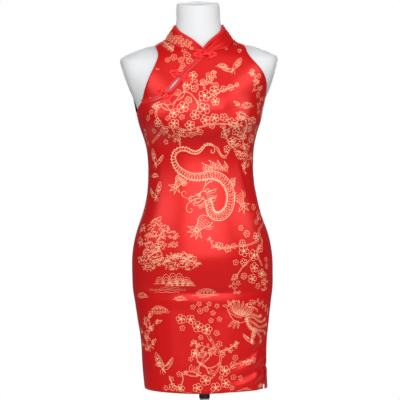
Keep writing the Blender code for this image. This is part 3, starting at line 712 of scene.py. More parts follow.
def on_front(across, height, rise):
    """A point on what is sewn there, seen from in front, moved out by rise."""
    hit, normal, _, _ = below.ray_cast(Vector((across, -FAR, height)), Vector((0, 1, 0)))
    return hit + normal * (rise if normal.y < 0 else -rise)


# %% The cords of the loops
def cord_line(curve, flats, rise, closed):
    spline = curve.splines.new("POLY")
    spline.points.add(len(flats) - 1)
    points = [on_front(place.x, place.y, rise) for place in flats]
    steps = len(points)
    for _ in range(3):       # a cord bridges small steps in what it lies on
        points = [points[k] if not closed and k in (0, steps - 1) else
                  (points[k - 1] + points[k] * 2 + points[(k + 1) % steps]) / 4
                  for k in range(steps)]
    for point, place in zip(spline.points, points):
        point.co = (*place, 1.0)
    spline.use_cyclic_u = closed


def loop_cords(curve, middle, knot):
    """Two cords side by side round a trefoil, and from it to the knot."""
    along = (middle - knot).normalized()
    aside = Vector((-along.y, along.x))
    for apart in (-CORD_APART, CORD_APART):
        path = []
        for k in range(60):
            angle = 2 * math.pi * k / 60
            reach = TREFOIL * (1 + LOBE * math.cos(3 * angle)) + apart
            path.append(middle + (along * math.cos(angle) + aside * math.sin(angle)) * reach)
        cord_line(curve, path, CORD_RADIUS + 0.5 * MM, True)
        start = middle - along * TREFOIL * (1 - LOBE) + aside * apart
        path = [start.lerp(knot + aside * apart, k / 10) for k in range(11)]
        cord_line(curve, path, CORD_RADIUS * 2 + 0.6 * MM, False)


# %% The knots, and the three frogs
QUARTER_TURN = Vector((0, 1, 0)).to_track_quat("Z", "Y").to_matrix()
TIE_RADIUS = 1.5 * MM    # the cord in the ball, drawn tight


def knot_ball(bm):
    """Three rings of cord round a core, about the origin."""
    bmesh.ops.create_uvsphere(bm, u_segments=16, v_segments=10, radius=KNOT * 0.72)
    for axis in ((1, 0.2, 0), (0, 1, 0.3), (0.2, 0, 1)):
        old = set(bm.verts)
        bmesh.ops.create_circle(bm, segments=10, radius=TIE_RADIUS)
        round_cord = [vert for vert in bm.verts if vert not in old]
        edges = [edge for edge in bm.edges if edge.verts[0] in set(round_cord)]
        bmesh.ops.rotate(bm, verts=round_cord, cent=(0, 0, 0), matrix=QUARTER_TURN)
        bmesh.ops.translate(bm, verts=round_cord, vec=(KNOT * 0.62, 0, 0))
        bmesh.ops.spin(bm, geom=round_cord + edges, axis=(0, 0, 1), cent=(0, 0, 0),
                       angle=2 * math.pi, steps=24, use_merge=True)
        bmesh.ops.transform(bm, verts=[vert for vert in bm.verts if vert not in old],
                            matrix=Vector(axis).to_track_quat("Z", "Y").to_matrix().to_4x4())


def frog(number, knot, loops):
    curve = bpy.data.curves.new(f"frog_{number}", "CURVE")
    curve.dimensions, curve.bevel_depth, curve.bevel_resolution = "3D", CORD_RADIUS, 2
    curve.use_fill_caps = True
    for middle in loops:
        loop_cords(curve, Vector(middle), Vector(knot))
    cords = bpy.data.objects.new("cords", curve)
    bpy.context.scene.collection.objects.link(cords)
    bm = bmesh.new()
    bm.from_mesh(cords.to_mesh())
    bpy.data.objects.remove(cords)
    middle = on_front(*knot, KNOT)
    bmesh.ops.translate(bm, verts=bm.verts, vec=-middle)
    knot_ball(bm)
    bmesh.ops.translate(bm, verts=bm.verts, vec=middle)
    bmesh.ops.recalc_face_normals(bm, faces=bm.faces)
    return stands_for(as_object(f"frog_{number}_cords", bm, CORD), "cord",
                      f"frog_{number}_loop_yoke", f"frog_{number}_loop_front",
                      f"frog_{number}_knot")


FROG_PIECES = [frog(number, knot, loops) for number, (knot, *loops) in enumerate(FROGS, 1)]
print("frogs:", [len(piece.data.polygons) for piece in FROG_PIECES])

# %% [markdown]
# ## The form and its stand
# The form is a glass-fibre shell in white satin lacquer, all one smooth skin, so its net is joined
# to squares and subdivided. The stand's turned pieces are right as they are and only get their
# materials: powder-coated steel, a black nylon clamp and a bright steel rod.

# %% Form and stand
form_bm = merged_copy("torso")
bmesh.ops.join_triangles(form_bm, faces=form_bm.faces, angle_face_threshold=math.radians(40),
                         angle_shape_threshold=math.radians(70))
form = as_object("form_shell", form_bm, SHELL)
modifier(form, "SUBSURF", levels=2, render_levels=2)
stands_for(form, "form_shell", "torso")
for node, finish in (("base", COAT), ("pole_tube", COAT), ("clamp", NYLON), ("pole_rod", STEEL)):
    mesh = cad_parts[node].data
    mesh.materials.clear()
    mesh.materials.append(finish)
print("form faces:", len(form.data.polygons))

# %% [markdown]
# ## The printed figure
# The gold figure is drawn as a textile designer would draw it: flat, in thin even lines, and only
# then laid on the dress. It is made of the stock subjects of such brocade: plum blossom on
# crooked boughs, pines on a rock, clouds, butterflies, birds, a phoenix and a coiling dragon. Each
# subject is a small function that draws lines in millimetres round its own middle; a table says
# where each one stands. A line is a chain of edges extruded sideways into a ribbon.

# %% Lines on the flat cloth
STEP = 1.7 * MM          # distance between two points of a line
LINE = 1.25              # usual width of a line, in mm, before WEIGHTS
# fine lines at the hem and slightly bolder ones above: heights in metres, and shares of the width
WEIGHTS = ((0.80, 1.0), (0.43, 0.53))
INK = []                 # each line: its left edge and its right edge, or a filled outline and None
chance = random.Random(11)


def curve_through(places, closed=False, step=STEP):
    """Points every step along a smooth curve through flat places."""
    count, points = len(places), []
    spans = count if closed else count - 1
    for k in range(spans):
        a = places[k - 1] if closed or k else places[0] * 2 - places[1]
        b, c = places[k], places[(k + 1) % count]
        d = places[(k + 2) % count] if closed or k + 2 < count else c * 2 - b
        parts = max(1, math.ceil((c - b).length / step))
        for s in range(parts):
            t = s / parts
            points.append(0.5 * (2 * b + (c - a) * t + (2 * a - 5 * b + 4 * c - d) * t * t
                                 + (3 * b - a - 3 * c + d) * t**3))
    if not closed:
        points.append(places[-1].copy())
    return points


def line(places, width=LINE, closed=False, ends=1.0, step=STEP):
    """Draws a line; width is in mm before WEIGHTS, and ends is the share of it at both ends."""
    points = curve_through([Vector(place) for place in places], closed, step)
    if closed:
        points.append(points[0].copy())
    last = len(points) - 1
    width *= float(np.interp(points[0].y, *WEIGHTS))
    left, right = [], []
    for k, here in enumerate(points):
        before = points[k - 1] if k else (points[last - 1] if closed else here)
        after = points[k + 1] if k < last else (points[1] if closed else here)
        way = after - before
        way = way.normalized() if way.length > 1e-9 else Vector((1, 0))
        share = 1.0 if closed else ends + (1 - ends) * math.sin(math.pi * k / max(last, 1))
        aside = Vector((-way.y, way.x)) * (width * MM / 2 * share)
        left.append(here + aside)
        right.append(here - aside)
    INK.append((left, right))


def blot(places):
    """A filled shape inside a short outline."""
    INK.append(([Vector(place) for place in places], None))


def stand(origin, turn=0.0, size=1.0, mirror=1):
    """Where a subject stands: returns put(u, v), which turns its millimetres into a flat place."""
    c, s = math.cos(math.radians(turn)) * size * MM, math.sin(math.radians(turn)) * size * MM
    return lambda u, v: origin + Vector((mirror * u * c - v * s, mirror * u * s + v * c))


def arc(put, u, v, radius, start, sweep, width=LINE, squash=1.0):
    """Part of a ring round (u, v), from start through sweep, both in degrees."""
    steps = max(3, int(abs(sweep) / 30))
    line([put(u + radius * math.cos(math.radians(start + sweep * k / steps)),
              v + radius * squash * math.sin(math.radians(start + sweep * k / steps)))
          for k in range(steps + 1)], width)


def corners(put, u, v, radius, sides):
    """The corners of a small polygon round (u, v)."""
    angles = [2 * math.pi * k / sides for k in range(sides)]
    return [put(u + radius * math.cos(angle), v + radius * math.sin(angle)) for angle in angles]


def ring(put, u, v, radius, width=LINE):
    line(corners(put, u, v, radius, 8), width, closed=True)


def dot(put, u, v, radius, sides=7):
    blot(corners(put, u, v, radius, sides))


# %% [markdown]
# ## Plum blossom
# The plum flowers on bare wood at the end of winter, so its five round petals sit straight on
# crooked boughs, with buds on the thin twigs. Large flowers get petals one by one and stamens,
# small ones a single outline of five lobes, because their petals would run into each other.

# %% Blossoms, twigs and boughs
def blossom(put, radius):
    """Five round open petals, a bright heart, and stamens tipped with dots."""
    first, stamens = chance.uniform(0, 72), 7 if radius > 9 else 0
    for petal in range(5):
        angle = math.radians(first + 72 * petal)
        arc(put, radius * 0.58 * math.cos(angle), radius * 0.58 * math.sin(angle), radius * 0.41,
            math.degrees(angle) - 128, 256)
    dot(put, 0, 0, radius * (0.22 if stamens else 0.16))
    for stamen in range(stamens):
        angle = math.radians(first + 36 + stamen * 360 / stamens)
        tip = radius * 0.42
        line([put(0, 0), put(tip * math.cos(angle), tip * math.sin(angle))], 0.9)
        dot(put, tip * math.cos(angle), tip * math.sin(angle), 0.8, 5)


def small_blossom(put, radius):
    """A blossom too small for stamens: one open outline of five lobes round a heart."""
    first = chance.uniform(0, 2 * math.pi)
    outline = []
    for k in range(15):
        angle, reach = first + k * math.pi / 7.5, radius * (1.12 if k % 3 else 0.72)
        outline.append(put(reach * math.cos(angle), reach * math.sin(angle)))
    line(outline, 1.1, closed=True)
    dot(put, 0, 0, radius * 0.2, 6)


BUD = 2.1                # mm


def bud(place, radius):
    ring(stand(place), 0, 0, radius, 1.1)


def spray(places, reach=5.0, every=6.5):
    """A thin twig with a bud every so many mm on short stalks, to one side and to the other."""
    points = curve_through([Vector(place) for place in places])
    line(places, 1.1)
    gap, side = 0.0, 1
    for before, here in zip(points, points[1:]):
        gap += (here - before).length / MM
        if gap < every:
            continue
        gap, side = 0.0, -side
        way = (here - before).normalized()
        aside = Vector((-way.y, way.x)) * side * MM
        tip = here + aside * reach + way * 2.5 * MM
        line([here, tip - (tip - here).normalized() * BUD * MM], 0.9)
        bud(tip, BUD * chance.uniform(0.85, 1.25))
    bud(Vector(places[-1]), BUD)


def bough(places, thick, thin):
    """A crooked bough: two uneven edges that draw together, with a few knots and bark strokes."""
    points = curve_through([Vector(place) for place in places], step=3 * MM)
    edges, last = ([], []), len(points) - 1
    for k, here in enumerate(points):
        way = (points[min(k + 1, last)] - points[max(k - 1, 0)]).normalized()
        aside = Vector((-way.y, way.x)) * MM
        half = (thick + (thin - thick) * k / last) / 2 * chance.uniform(0.8, 1.25)
        edges[0].append(here + aside * half)
        edges[1].append(here - aside * half)
    for edge in edges:
        line(edge, 1.0)
    for _ in range(3):
        k = chance.randrange(1, max(2, last))
        half = (thick + (thin - thick) * k / last) / 2
        if half > 1.4:
            ring(stand(points[k]), 0, 0, half * 0.5, 0.8)
            line([points[k - 1], points[k], points[min(k + 1, last)]], 0.8)


# %% [markdown]
# ## Clouds, pines, rocks and water
# These are the ground of such a figure: small repeated marks that together read as a mass. A cloud
# is scallops over level lines, a pine is rows of curled strokes with fans of needles among them,
# rocks are nested arches, and water is long broken lines.

# %% Clouds, leaves, rocks and water
def cloud(put, wide):
    """Flat-bottomed cloud: scallops that rise to the middle over long level lines."""
    lobes = max(4, int(wide / 9))
    for k in range(lobes):
        share = (k + 0.5) / lobes
        radius = wide * 0.075 * (0.7 + 0.9 * math.sin(math.pi * share))
        u = wide * (share - 0.5) * 0.72
        v = wide * 0.085 * math.sin(math.pi * share)
        arc(put, u, v, radius, -10, 200, 1.1)
        arc(put, u + radius * 0.1, v, radius * 0.45, 20, 250, 0.935)
    for level, reach, shift in ((-0.03, 1.0, 0.0), (-0.075, 0.72, 0.08), (-0.115, 0.4, -0.06)):
        line([put(wide * (shift - reach / 2), wide * level),
              put(wide * shift, wide * (level + 0.006)),
              put(wide * (shift + reach / 2), wide * level)], 1.1, ends=0.5)


def foliage(put, wide, tall):
    """A ragged mass of leaves: rows of small curled strokes."""
    size = 5.6               # mm from stroke to stroke
    v = -tall / 2 + size * 0.6
    while v < tall / 2:
        reach = wide * chance.uniform(0.46, 0.58) * math.sqrt(max(0.0, 1 - (2 * v / tall)**2))
        u = -reach + chance.uniform(0, size)
        while u < reach:
            x, y = u + chance.uniform(-0.3, 0.3) * size, v + chance.uniform(-0.55, 0.55) * size
            arc(put, x, y, size * 0.42, chance.uniform(-70, 50), 220, 1.35)
            u += size
        v += size * 0.8


def needle_fan(put, radius):
    """One tuft of pine needles: strokes that spread from a point, to a scalloped edge."""
    for k in range(9):
        angle = math.radians(8 + 164 * k / 8)
        reach = radius * (0.86 + 0.14 * math.cos(6 * angle))
        line([put(radius * 0.12 * math.cos(angle), radius * 0.12 * math.sin(angle)),
              put(reach * math.cos(angle), reach * 0.8 * math.sin(angle))], 0.9)


def rocks(put, wide, tall):
    """Five rounded peaks, each of three nested arches, on a level line."""
    for k in range(5):
        u = wide * (k / 4 - 0.5) * 0.8
        height = tall * (0.45 + 0.55 * math.sin(math.pi * (k + 0.6) / 5.2))
        height *= chance.uniform(0.85, 1.1)
        for inner in (1.0, 0.72, 0.46):
            arc(put, u, 0, wide * 0.13 * inner, 0, 180, 1.05, squash=height / (wide * 0.13))
    line([put(-wide * 0.6, 0), put(0, 1), put(wide * 0.6, 0)], 1.0)


def water(put, wide):
    """Four broken wavy lines, one under another."""
    for row in range(4):
        reach = wide * chance.uniform(0.5, 1.0)
        start = -wide / 2 + chance.uniform(0, wide - reach)
        count = max(3, int(reach / 10))
        line([put(start + reach * k / count, -3.4 * row + (0.7 if k % 2 else -0.4))
              for k in range(count + 1)], 0.95, ends=0.4)


# %% [markdown]
# ## Butterflies, birds and single leaves
# Small creatures fill the open satin. A closed line gives each wing, a second one inside it the
# rim, and dots and rings the spots, so that a butterfly stays legible at a few centimetres.

# %% Butterflies, birds and leaves
def butterfly(put, size, spread=0.0):
    """Two wings with a rim, spots and veins, a body and feelers; spread lowers the second wing."""
    def at(u, v):
        return put(u * size, v * size)
    upper = ((0, 0), (-6, 7), (-9, 17), (-7, 27), (-3, 30), (1, 22), (3, 10))
    c, s = math.cos(math.radians(spread)), math.sin(math.radians(spread))
    lower = [(u * c + v * s, v * c - u * s)
             for u, v in ((1, 0), (9, 2), (17, 7), (24, 12), (22, 5), (14, -2), (5, -5))]
    for wing in (upper, lower):
        line([at(*place) for place in wing], 1.15, closed=True)
        middle = Vector((sum(p[0] for p in wing) / 7, sum(p[1] for p in wing) / 7))
        line([at(*(Vector(place).lerp(middle, 0.32))) for place in wing[1:]], 0.8)
        for place in wing[2:5]:
            line([at(*Vector(wing[0]).lerp(Vector(place), share)) for share in (0.25, 0.85)], 0.7)
    dot(at, -4.4, 19, 1.5)
    ring(at, -3.0, 12, 2.6, 1.0)
    dot(at, -3.0, 12, 1.1)
    ring(at, 12 * c + 3.5 * s, 3.5 * c - 12 * s, 1.8, 0.9)
    for k in range(5):
        dot(at, -1.2 + 0.6 * k, -1.5 - 1.9 * k, 1.3 - 0.12 * k, 6)
    line([at(0, 1), at(-6, -3), at(-9, -9)], 0.8)
    line([at(0, 1), at(-3, -6), at(-3, -12)], 0.8)


def bird(put, size):
    """A small bird with a raised wing and a forked tail."""
    def at(u, v):
        return put(u * size, v * size)
    line([at(-14, -5), at(-6, -6), at(4, -3), at(10, 3), at(14, 4), at(10, 7), at(5, 6), at(-3, 3),
          at(-14, -5)], 1.15)
    dot(at, 9, 5, 0.9, 5)
    for k in range(4):
        line([at(0 - 1.6 * k, 3), at(-2 - 3.2 * k, 10 - k), at(-3 - 4.6 * k, 17 - 2.4 * k)], 1.0,
             ends=0.6)
    line([at(2, 4), at(3, 12), at(-3, 18)], 1.15)
    for fork in (-3, 1):
        line([at(-13, -5), at(-21, -9 + fork), at(-27, -14 + 2 * fork)], 1.3, ends=0.5)
    for k in range(4):
        arc(at, -8 + 4 * k, -2.6 + 0.8 * k, 2.0, 190, 150, 0.7)


def long_leaf(put, length, width):
    line([put(0, 0), put(length * 0.4, width), put(length, 0), put(length * 0.45, -width * 0.5),
          put(0, 0)], 1.1)
    line([put(0, 0), put(length * 0.5, 0.4 * width), put(length, 0)], 0.8)


# %% [markdown]
# ## The dragon
# A Chinese dragon is a long snake's body with four clawed feet, a stag's horns, whiskers and a
# mane. The body is drawn from a line down its middle and a table of widths: two outlines, scales
# across it in rows, belly plates along one side and small flames of spines along the other.

# %% The dragon's body
SCALES_EVERY = 4.8 * MM


def coil(path, widths):
    """The body along a path; widths are (share of the length, width in mm)."""
    points = curve_through([Vector(place) for place in path], step=1.6 * MM)
    last = len(points) - 1
    left, right, middle = [], [], []
    shares, wide = zip(*widths)
    for k, here in enumerate(points):
        way = (points[min(k + 1, last)] - points[max(k - 1, 0)]).normalized()
        aside = Vector((way.y, -way.x))
        half = float(np.interp(k / last, shares, wide)) / 2 * MM
        left.append(here + aside * half)
        right.append(here - aside * half)
        middle.append((here, way, aside, half))
    line(left, 2.1)
    line(right, 2.1)
    line([here - aside * half * 0.5 for here, _, aside, half in middle], 0.8)
    reach, row = 0.0, 0
    for k in range(1, last):
        here, way, aside, half = middle[k]
        reach += (here - middle[k - 1][0]).length
        if reach < SCALES_EVERY:
            continue
        reach, row = 0.0, row + 1
        line([here - aside * half * 0.5, here - aside * half * 0.75 - way * half * 0.08,
              here - aside * half], 1.5)
        across = 2 if half > 4.5 * MM else 1
        for n in range(across):
            share = min(-0.35 + 1.25 * (n + (0.75 if row % 2 else 0.3)) / across, 0.7)
            radius = half * 0.36 / across + 0.5 * MM
            scale = here + aside * half * share
            line([scale + aside * radius, scale + way * radius * 1.3, scale - aside * radius], 1.35,
                 step=2 * MM)
        foot = here + aside * half
        line([foot + way * 2.0 * MM, foot + aside * (1.4 * MM + half * 0.26) - way * 1.2 * MM,
              foot - way * 1.4 * MM], 1.7, step=2 * MM)


# %% The dragon's head, feet and flames
def dragon_head(put):
    """Seen from the side, facing left, jaws open."""
    line([put(12, 8), put(4, 12), put(-4, 10), put(-11, 11), put(-17, 9), put(-23, 12), put(-29, 9),
          put(-29, 4), put(-22, 3), put(-14, 3), put(-7, 0), put(-3, -3)], 1.5)
    line([put(-3, -3), put(-10, -6), put(-18, -6), put(-24, -3), put(-25, -7), put(-17, -12),
          put(-6, -12), put(4, -9)], 1.5)
    line([put(-27, 3), put(-26, 0), put(-24, 3), put(-20, 2.5), put(-18.5, -1), put(-16.5, 2.5),
          put(-10, 0.8)], 1.0, step=1 * MM)
    line([put(-22, -4), put(-19, -1.5), put(-16, -5.5), put(-12, -5.5)], 1.0, step=1 * MM)
    ring(put, -6, 6, 2.9, 1.1)
    dot(put, -6, 6, 1.4)
    arc(put, -6, 5.5, 4.9, 20, 150, 1.4)
    ring(put, -25, 8, 1.6, 1.0)
    for fork in (((5, 11), (13, 19), (24, 23), (34, 22)), ((14, 19.5), (18, 26), (25, 30))):
        line([put(*place) for place in fork], 2.0, ends=0.5)
    line([put(7, 8), put(15, 12), put(19, 10), put(14, 5), put(8, 5)], 1.1)
    for k in range(8):
        v = 6 - 3.2 * k
        bend = 4 * math.sin(k * 1.3)
        line([put(9 - 0.9 * k, v - 1), put(19 - k, v + bend * 0.4), put(29 - 1.4 * k, v - 3 + bend),
              put(35 - 1.8 * k, v - 1 + bend)], 1.3, ends=0.4)
    upper = ((-27, 9), (-35, 15), (-39, 24), (-34, 29), (-29, 26), (-31, 21))
    lower = ((-25, 2), (-34, 1), (-42, -6), (-43, -15), (-36, -19), (-32, -14), (-35, -11))
    for whisker in (upper, lower):
        line([put(*place) for place in whisker], 1.3, ends=0.6)
    for k in range(6):
        line([put(-15 + 3 * k, -11.5), put(-17 + 3 * k, -17 - k % 2 * 2),
              put(-14 + 3 * k, -22 + k % 3)], 1.0, ends=0.4)
    for k in range(3):
        arc(put, 1 + 1.5 * k, -2 - 1.5 * k, 4.0, 110, 150, 1.0)


def claw_foot(put, claws):
    """A leg with scales, a tuft at the heel and a spread foot of hooked claws."""
    line([put(0, 34), put(-9, 29), put(-11, 21), put(-6, 11), put(-4, 4)], 1.6)
    line([put(14, 32), put(13, 22), put(8, 12), put(6, 3)], 1.6)
    for k in range(6):
        for side in (-1, 0, 1):
            arc(put, 0.8 + side * (2.6 + 0.9 * k), 6 + 4.4 * k, 2.4, 190, 160, 1.1)
    for k in range(3):
        line([put(9, 14 + 3 * k), put(16, 15 + 4 * k), put(21, 20 + 4 * k)], 1.2, ends=0.4)
    for k in range(claws):
        angle = math.radians(202 + 136 * k / (claws - 1))
        c, s = math.cos(angle), math.sin(angle)
        line([put(1 - 3 * s, 2 + 3 * c), put(1 + 10 * c - 2.2 * s, 2 + 10 * s + 2.2 * c),
              put(1 + 19 * c, 2 + 19 * s)], 1.2)
        line([put(1 + 3 * s, 2 - 3 * c), put(1 + 10 * c + 2.4 * s, 2 + 10 * s - 2.4 * c),
              put(1 + 15 * c, 2 + 15 * s), put(1 + 19 * c, 2 + 19 * s)], 1.2)
    ring(put, 1, 2, 3.6, 1.1)


def flame(put, tongues, reach):
    """Tongues of flame side by side, each with a short stroke inside."""
    for k in range(tongues):
        u = 5.5 * k
        tall = reach * (0.7 + 0.3 * math.sin(2.1 * k + 1))
        line([put(u, 0), put(u - 3, tall * 0.45), put(u + 2, tall * 0.75), put(u - 1, tall),
              put(u + 5, tall * 0.7), put(u + 3, tall * 0.35), put(u + 5, 0)], 1.15)
        line([put(u + 1.5, tall * 0.12), put(u + 0.4, tall * 0.42), put(u + 2.8, tall * 0.6)], 0.8)


# %% [markdown]
# ## The phoenix
# Its parts are feathers at different lengths and turns: seven long ones fanned over the back for
# the raised wing, four short ones over their roots, three under the breast, and six tail plumes
# that wave and end in an eye.

# %% Feathers and the phoenix
def feather(put, u, v, length, turn, wide, width=1.0):
    """One feather from (u, v): two edges and a quill."""
    c, s = math.cos(math.radians(turn)), math.sin(math.radians(turn))

    def at(a, b):
        return put(u + a * c - b * s, v + a * s + b * c)
    line([at(0, 0), at(length * 0.35, wide), at(length * 0.8, wide), at(length, 0),
          at(length * 0.8, -wide), at(length * 0.35, -wide), at(0, 0)], width)
    line([at(0, 0), at(length * 0.9, 0)], 0.8)


def phoenix(put):
    """Flying left, head turned up, wing raised, long tail plumes with eyes."""
    line([put(-44, 30), put(-51, 31), put(-58, 28), put(-51, 26), put(-46, 25)], 1.1)
    line([put(-44, 30), put(-39, 34), put(-33, 30), put(-30, 20), put(-20, 10), put(-5, 6),
          put(10, 4)], 1.3)
    line([put(-46, 25), put(-42, 16), put(-36, 4), put(-24, -8), put(-8, -13), put(10, -8)], 1.3)
    dot(put, -43, 28, 1.1)
    for k in range(3):
        line([put(-40, 33), put(-36 + 5 * k, 41 + k), put(-30 + 8 * k, 44 - 2 * k)], 1.1, ends=0.5)
    for k in range(9):
        u, v = -38 + 4.4 * k, 18 - 3.1 * k + 0.18 * k * k
        for side in (-2.5, 2.5):
            arc(put, u + side, v + side * 0.9, 3.0, 150, 170, 0.85)
    for k in range(7):
        feather(put, -20 + 4.4 * k, 8 - 0.4 * k, 44 - 2.4 * k, 128 - 14 * k, 2.5)
    for k in range(4):
        feather(put, -16 + 5.4 * k, 8, 14, 112 - 18 * k, 2.0, 0.9)
    for k in range(3):
        feather(put, -25 + 6 * k, -8, 22 - k, -126 + 20 * k, 2.3)
    plumes = ((24, 44), (4, 62), (-14, 74), (-32, 80), (-50, 78), (-68, 62))    # turn and length
    for k, (turn, length) in enumerate(plumes):
        c, s = math.cos(math.radians(turn)), math.sin(math.radians(turn))
        path = [(9, -2)] + [(9 + length * t * c - 9 * math.sin(5 * t + k) * s,
                             -2 + length * t * s + 9 * math.sin(5 * t + k) * c)
                            for t in (0.3, 0.6, 0.85, 1.0)]
        line([put(*place) for place in path], 1.1)
        points = curve_through([Vector(place) for place in path], step=4.2)
        for a, b in zip(points, points[1:]):
            way = (b - a).normalized()
            for side in (-1, 1):
                tip = a - way * 1.5 + Vector((-way.y, way.x)) * side * 4.2
                line([put(*a), put(*tip.lerp(a, 0.4)), put(*tip)], 0.85)
        end = path[-1]
        ring(put, *end, 4.6, 1.1)
        ring(put, *end, 2.4, 0.9)
        dot(put, *end, 1.1)


# %% [markdown]
# ## Where each subject stands
# The tables place every subject by where the camera sees it, so the figure is composed in the view
# and the cloth's own shape then bends it. The columns are named above each table. The back repeats
# the same tables, moved across and down, and each side has a few blossoms, sprays and a cloud.

# %% Blossoms
# place in the view (px, py), and radius in mm
BLOSSOMS = (
    (183, 107, 13), (204, 109, 13.5), (174, 113, 10.5), (195, 115, 10.5), (205.5, 120, 10.5),
    (174, 123.5, 10), (157.4, 122.8, 9.5), (190, 125, 10), (214.5, 118, 10), (224, 117.5, 9),
    (232, 122, 9), (215.3, 101.3, 9.5), (204.6, 95.5, 14), (214.5, 91, 12), (187.3, 85.4, 10.5),
    (193, 75.5, 9.5), (209.6, 79, 8.5), (157.6, 106, 9.5), (223.6, 89, 7.5), (230.6, 87.5, 7.5),
    (203, 82, 7), (194.5, 88.5, 8), (188.5, 100, 8), (225, 134, 9.5), (232, 141, 9.5),
    (236, 131, 9), (227, 149, 8), (219.5, 246, 8.5), (227.5, 248.5, 8.5), (243.9, 250.9, 13),
    (253.9, 255.2, 13), (242.4, 243, 8), (246.7, 233.7, 8), (256.3, 236.6, 9.5),
    (243.9, 262.4, 8.5), (254.4, 267.5, 11.5), (261.5, 273.4, 10.5), (252.4, 278.7, 11),
    (244, 276, 7.5), (235, 277, 7), (260, 248.5, 9), (263.5, 282, 7), (197.9, 326.8, 12.5),
    (206.9, 329.4, 12), (190.6, 319.6, 10.5), (181, 319, 11), (224.7, 370.9, 12),
    (205.6, 380.4, 12), (197.4, 388, 11), (215.8, 387.6, 11.5), (225.6, 383.4, 10.5),
    (180.2, 389, 10.5), (195, 353.2, 9.5), (233.2, 365, 8), (172.4, 387, 8.5), (247.7, 361.8, 7.5),
)
# place in the view
SMALL_BLOSSOMS = (
    (237, 84.8), (216, 85), (208, 74.8), (213.5, 73.2), (199, 102.5), (166, 130), (181, 133),
    (178, 138.5), (252, 71), (259, 76), (256, 82), (261, 88), (258, 95), (264, 99), (151, 112),
    (148, 118), (166, 142), (191, 135), (200, 132), (168, 118), (154, 131), (182, 117), (223, 126),
    (240, 118), (212, 126), (219.5, 319.2), (216.6, 333), (200.8, 337.5), (182.4, 328),
    (211, 320.5), (200.3, 311), (230.5, 350.3), (209, 304), (193, 307), (199, 304), (206, 309),
    (213, 313), (217, 306), (222.8, 354.6), (213.3, 350), (219.4, 344), (190.8, 359), (198, 345.2),
    (193.6, 342), (233.4, 377.2), (240, 378), (235.4, 357.8), (253.6, 360), (241, 363),
    (185.5, 373), (179.4, 374), (171.5, 379), (198.5, 373.4), (211.3, 372), (235.8, 344.2),
    (241, 228), (233.8, 246), (235.6, 262.4), (266, 259.5), (253.5, 207), (258, 213), (262, 217),
    (256.5, 222), (266.5, 266), (238, 283), (258, 286), (146, 196), (262, 196), (166, 388),
    (232, 388), (221, 378),
)
# place in the view, and radius in mm
YOKE_BLOSSOMS = (
    (167.5, 60, 5.2), (173.8, 57.3, 7), (181, 60, 6), (187, 55.5, 7.5), (184.5, 49.5, 6),
    (189.5, 61, 7), (183, 65.5, 5.4), (180.6, 69.5, 4.6), (166.8, 44.5, 5.4), (171, 47.5, 5),
)

# %% Boughs and sprays
# path in the view, and thickness at its start and end in mm
BOUGHS = (
    (((157, 105), (156, 114), (159, 122), (163, 128), (158, 136), (152, 143)), 4.4, 3.2),
    (((163, 128), (172, 127), (186, 130), (200, 127), (214, 124), (232, 124)), 3.4, 1.8),
    (((172, 128), (176, 134), (186, 137)), 2.2, 1.2),
    (((186, 79), (184, 90), (191, 94), (198, 104), (196, 112)), 1.6, 0.8),
    (((207, 99), (214, 95), (222, 91), (238, 85)), 1.4, 0.7),
    (((246, 174), (243, 168), (247, 156), (243, 143), (246, 128), (243, 116)), 3.2, 1.6),
    (((246, 156), (238, 151), (230, 145), (226, 136)), 3.0, 1.6),
    (((263, 219), (259, 230), (262, 242), (257, 252), (262, 266)), 4.4, 2.6),
    (((259, 240), (248, 245), (238, 246), (224, 248), (214, 247)), 3.2, 1.6),
    (((258, 254), (250, 260), (242, 268), (236, 277)), 2.8, 1.6),
    (((205, 331), (213, 343), (219.5, 352), (220, 363), (215, 374), (208, 381)), 5.0, 2.6),
    (((219.5, 352), (224, 350), (230, 348), (236, 343.5)), 1.6, 0.8),
    (((220, 365), (226, 371), (233, 366), (241, 362.5), (254, 360)), 1.8, 0.9),
    (((220, 363), (210, 368), (199, 363), (196, 352), (197, 345)), 1.6, 0.8),
    (((197, 361), (205, 366), (209, 374)), 2.4, 1.2),
    (((180, 388), (183, 380), (182, 373)), 1.4, 0.8),
    (((180, 388), (173, 385), (169, 376)), 1.4, 0.8),
)
# path in the view
SPRAYS = (
    ((190, 78), (198, 84), (206, 85), (212, 79), (215, 72)), ((236, 125), (230, 128), (224, 131)),
    ((176, 131), (188, 133), (198, 131)), ((160, 130), (168, 134), (180, 142)),
    ((262, 120), (258, 110), (262, 98)), ((252, 92), (256, 84), (253, 74)),
    ((257, 204), (260, 210), (258, 219)), ((252, 300), (262, 304), (268, 312)),
    ((219, 352), (228, 350), (238, 343)), ((217, 350), (204, 346), (192, 343)),
    ((218, 356), (206, 352), (194, 354)), ((150, 146), (146, 140), (145, 130)),
    ((262, 270), (266, 280), (264, 290)), ((236, 277), (232, 286), (238, 293)),
    ((232, 124), (238, 121), (240, 112)), ((220, 247), (212, 244), (210, 238)),
)

# %% Clouds, creatures and pines
# place in the view, width in mm, turn in degrees
CLOUDS = (
    (247, 106, 44, 8), (206, 294, 62, 2), (142, 296, 40, 0), (159, 311, 56, 0), (160, 365, 30, 0),
    (222, 66, 30, 0), (155, 176, 30, 0), (232, 392, 40, 0), (260, 386, 26, 0), (180, 299, 34, 0),
)
# place, turn in degrees, size, 1 or -1 for the way it faces, and how far the second wing is lowered
BUTTERFLIES = (
    (233, 69, -30, 1.05, -1, 45), (156, 163, 10, 1.1, 1, 0), (156, 196, -15, 1.15, -1, 0),
    (163, 368, 20, 1.25, 1, 0), (252, 340, -10, 0.95, -1, 0),
)
# place, turn, size and the way it faces
BIRDS = (
    (181, 96, 20, 1.0, 1), (165, 107, -10, 1.0, -1), (206, 358, 25, 1.15, 1),
    (192, 374, 10, 1.2, -1), (250, 306, 0, 0.8, -1),
)
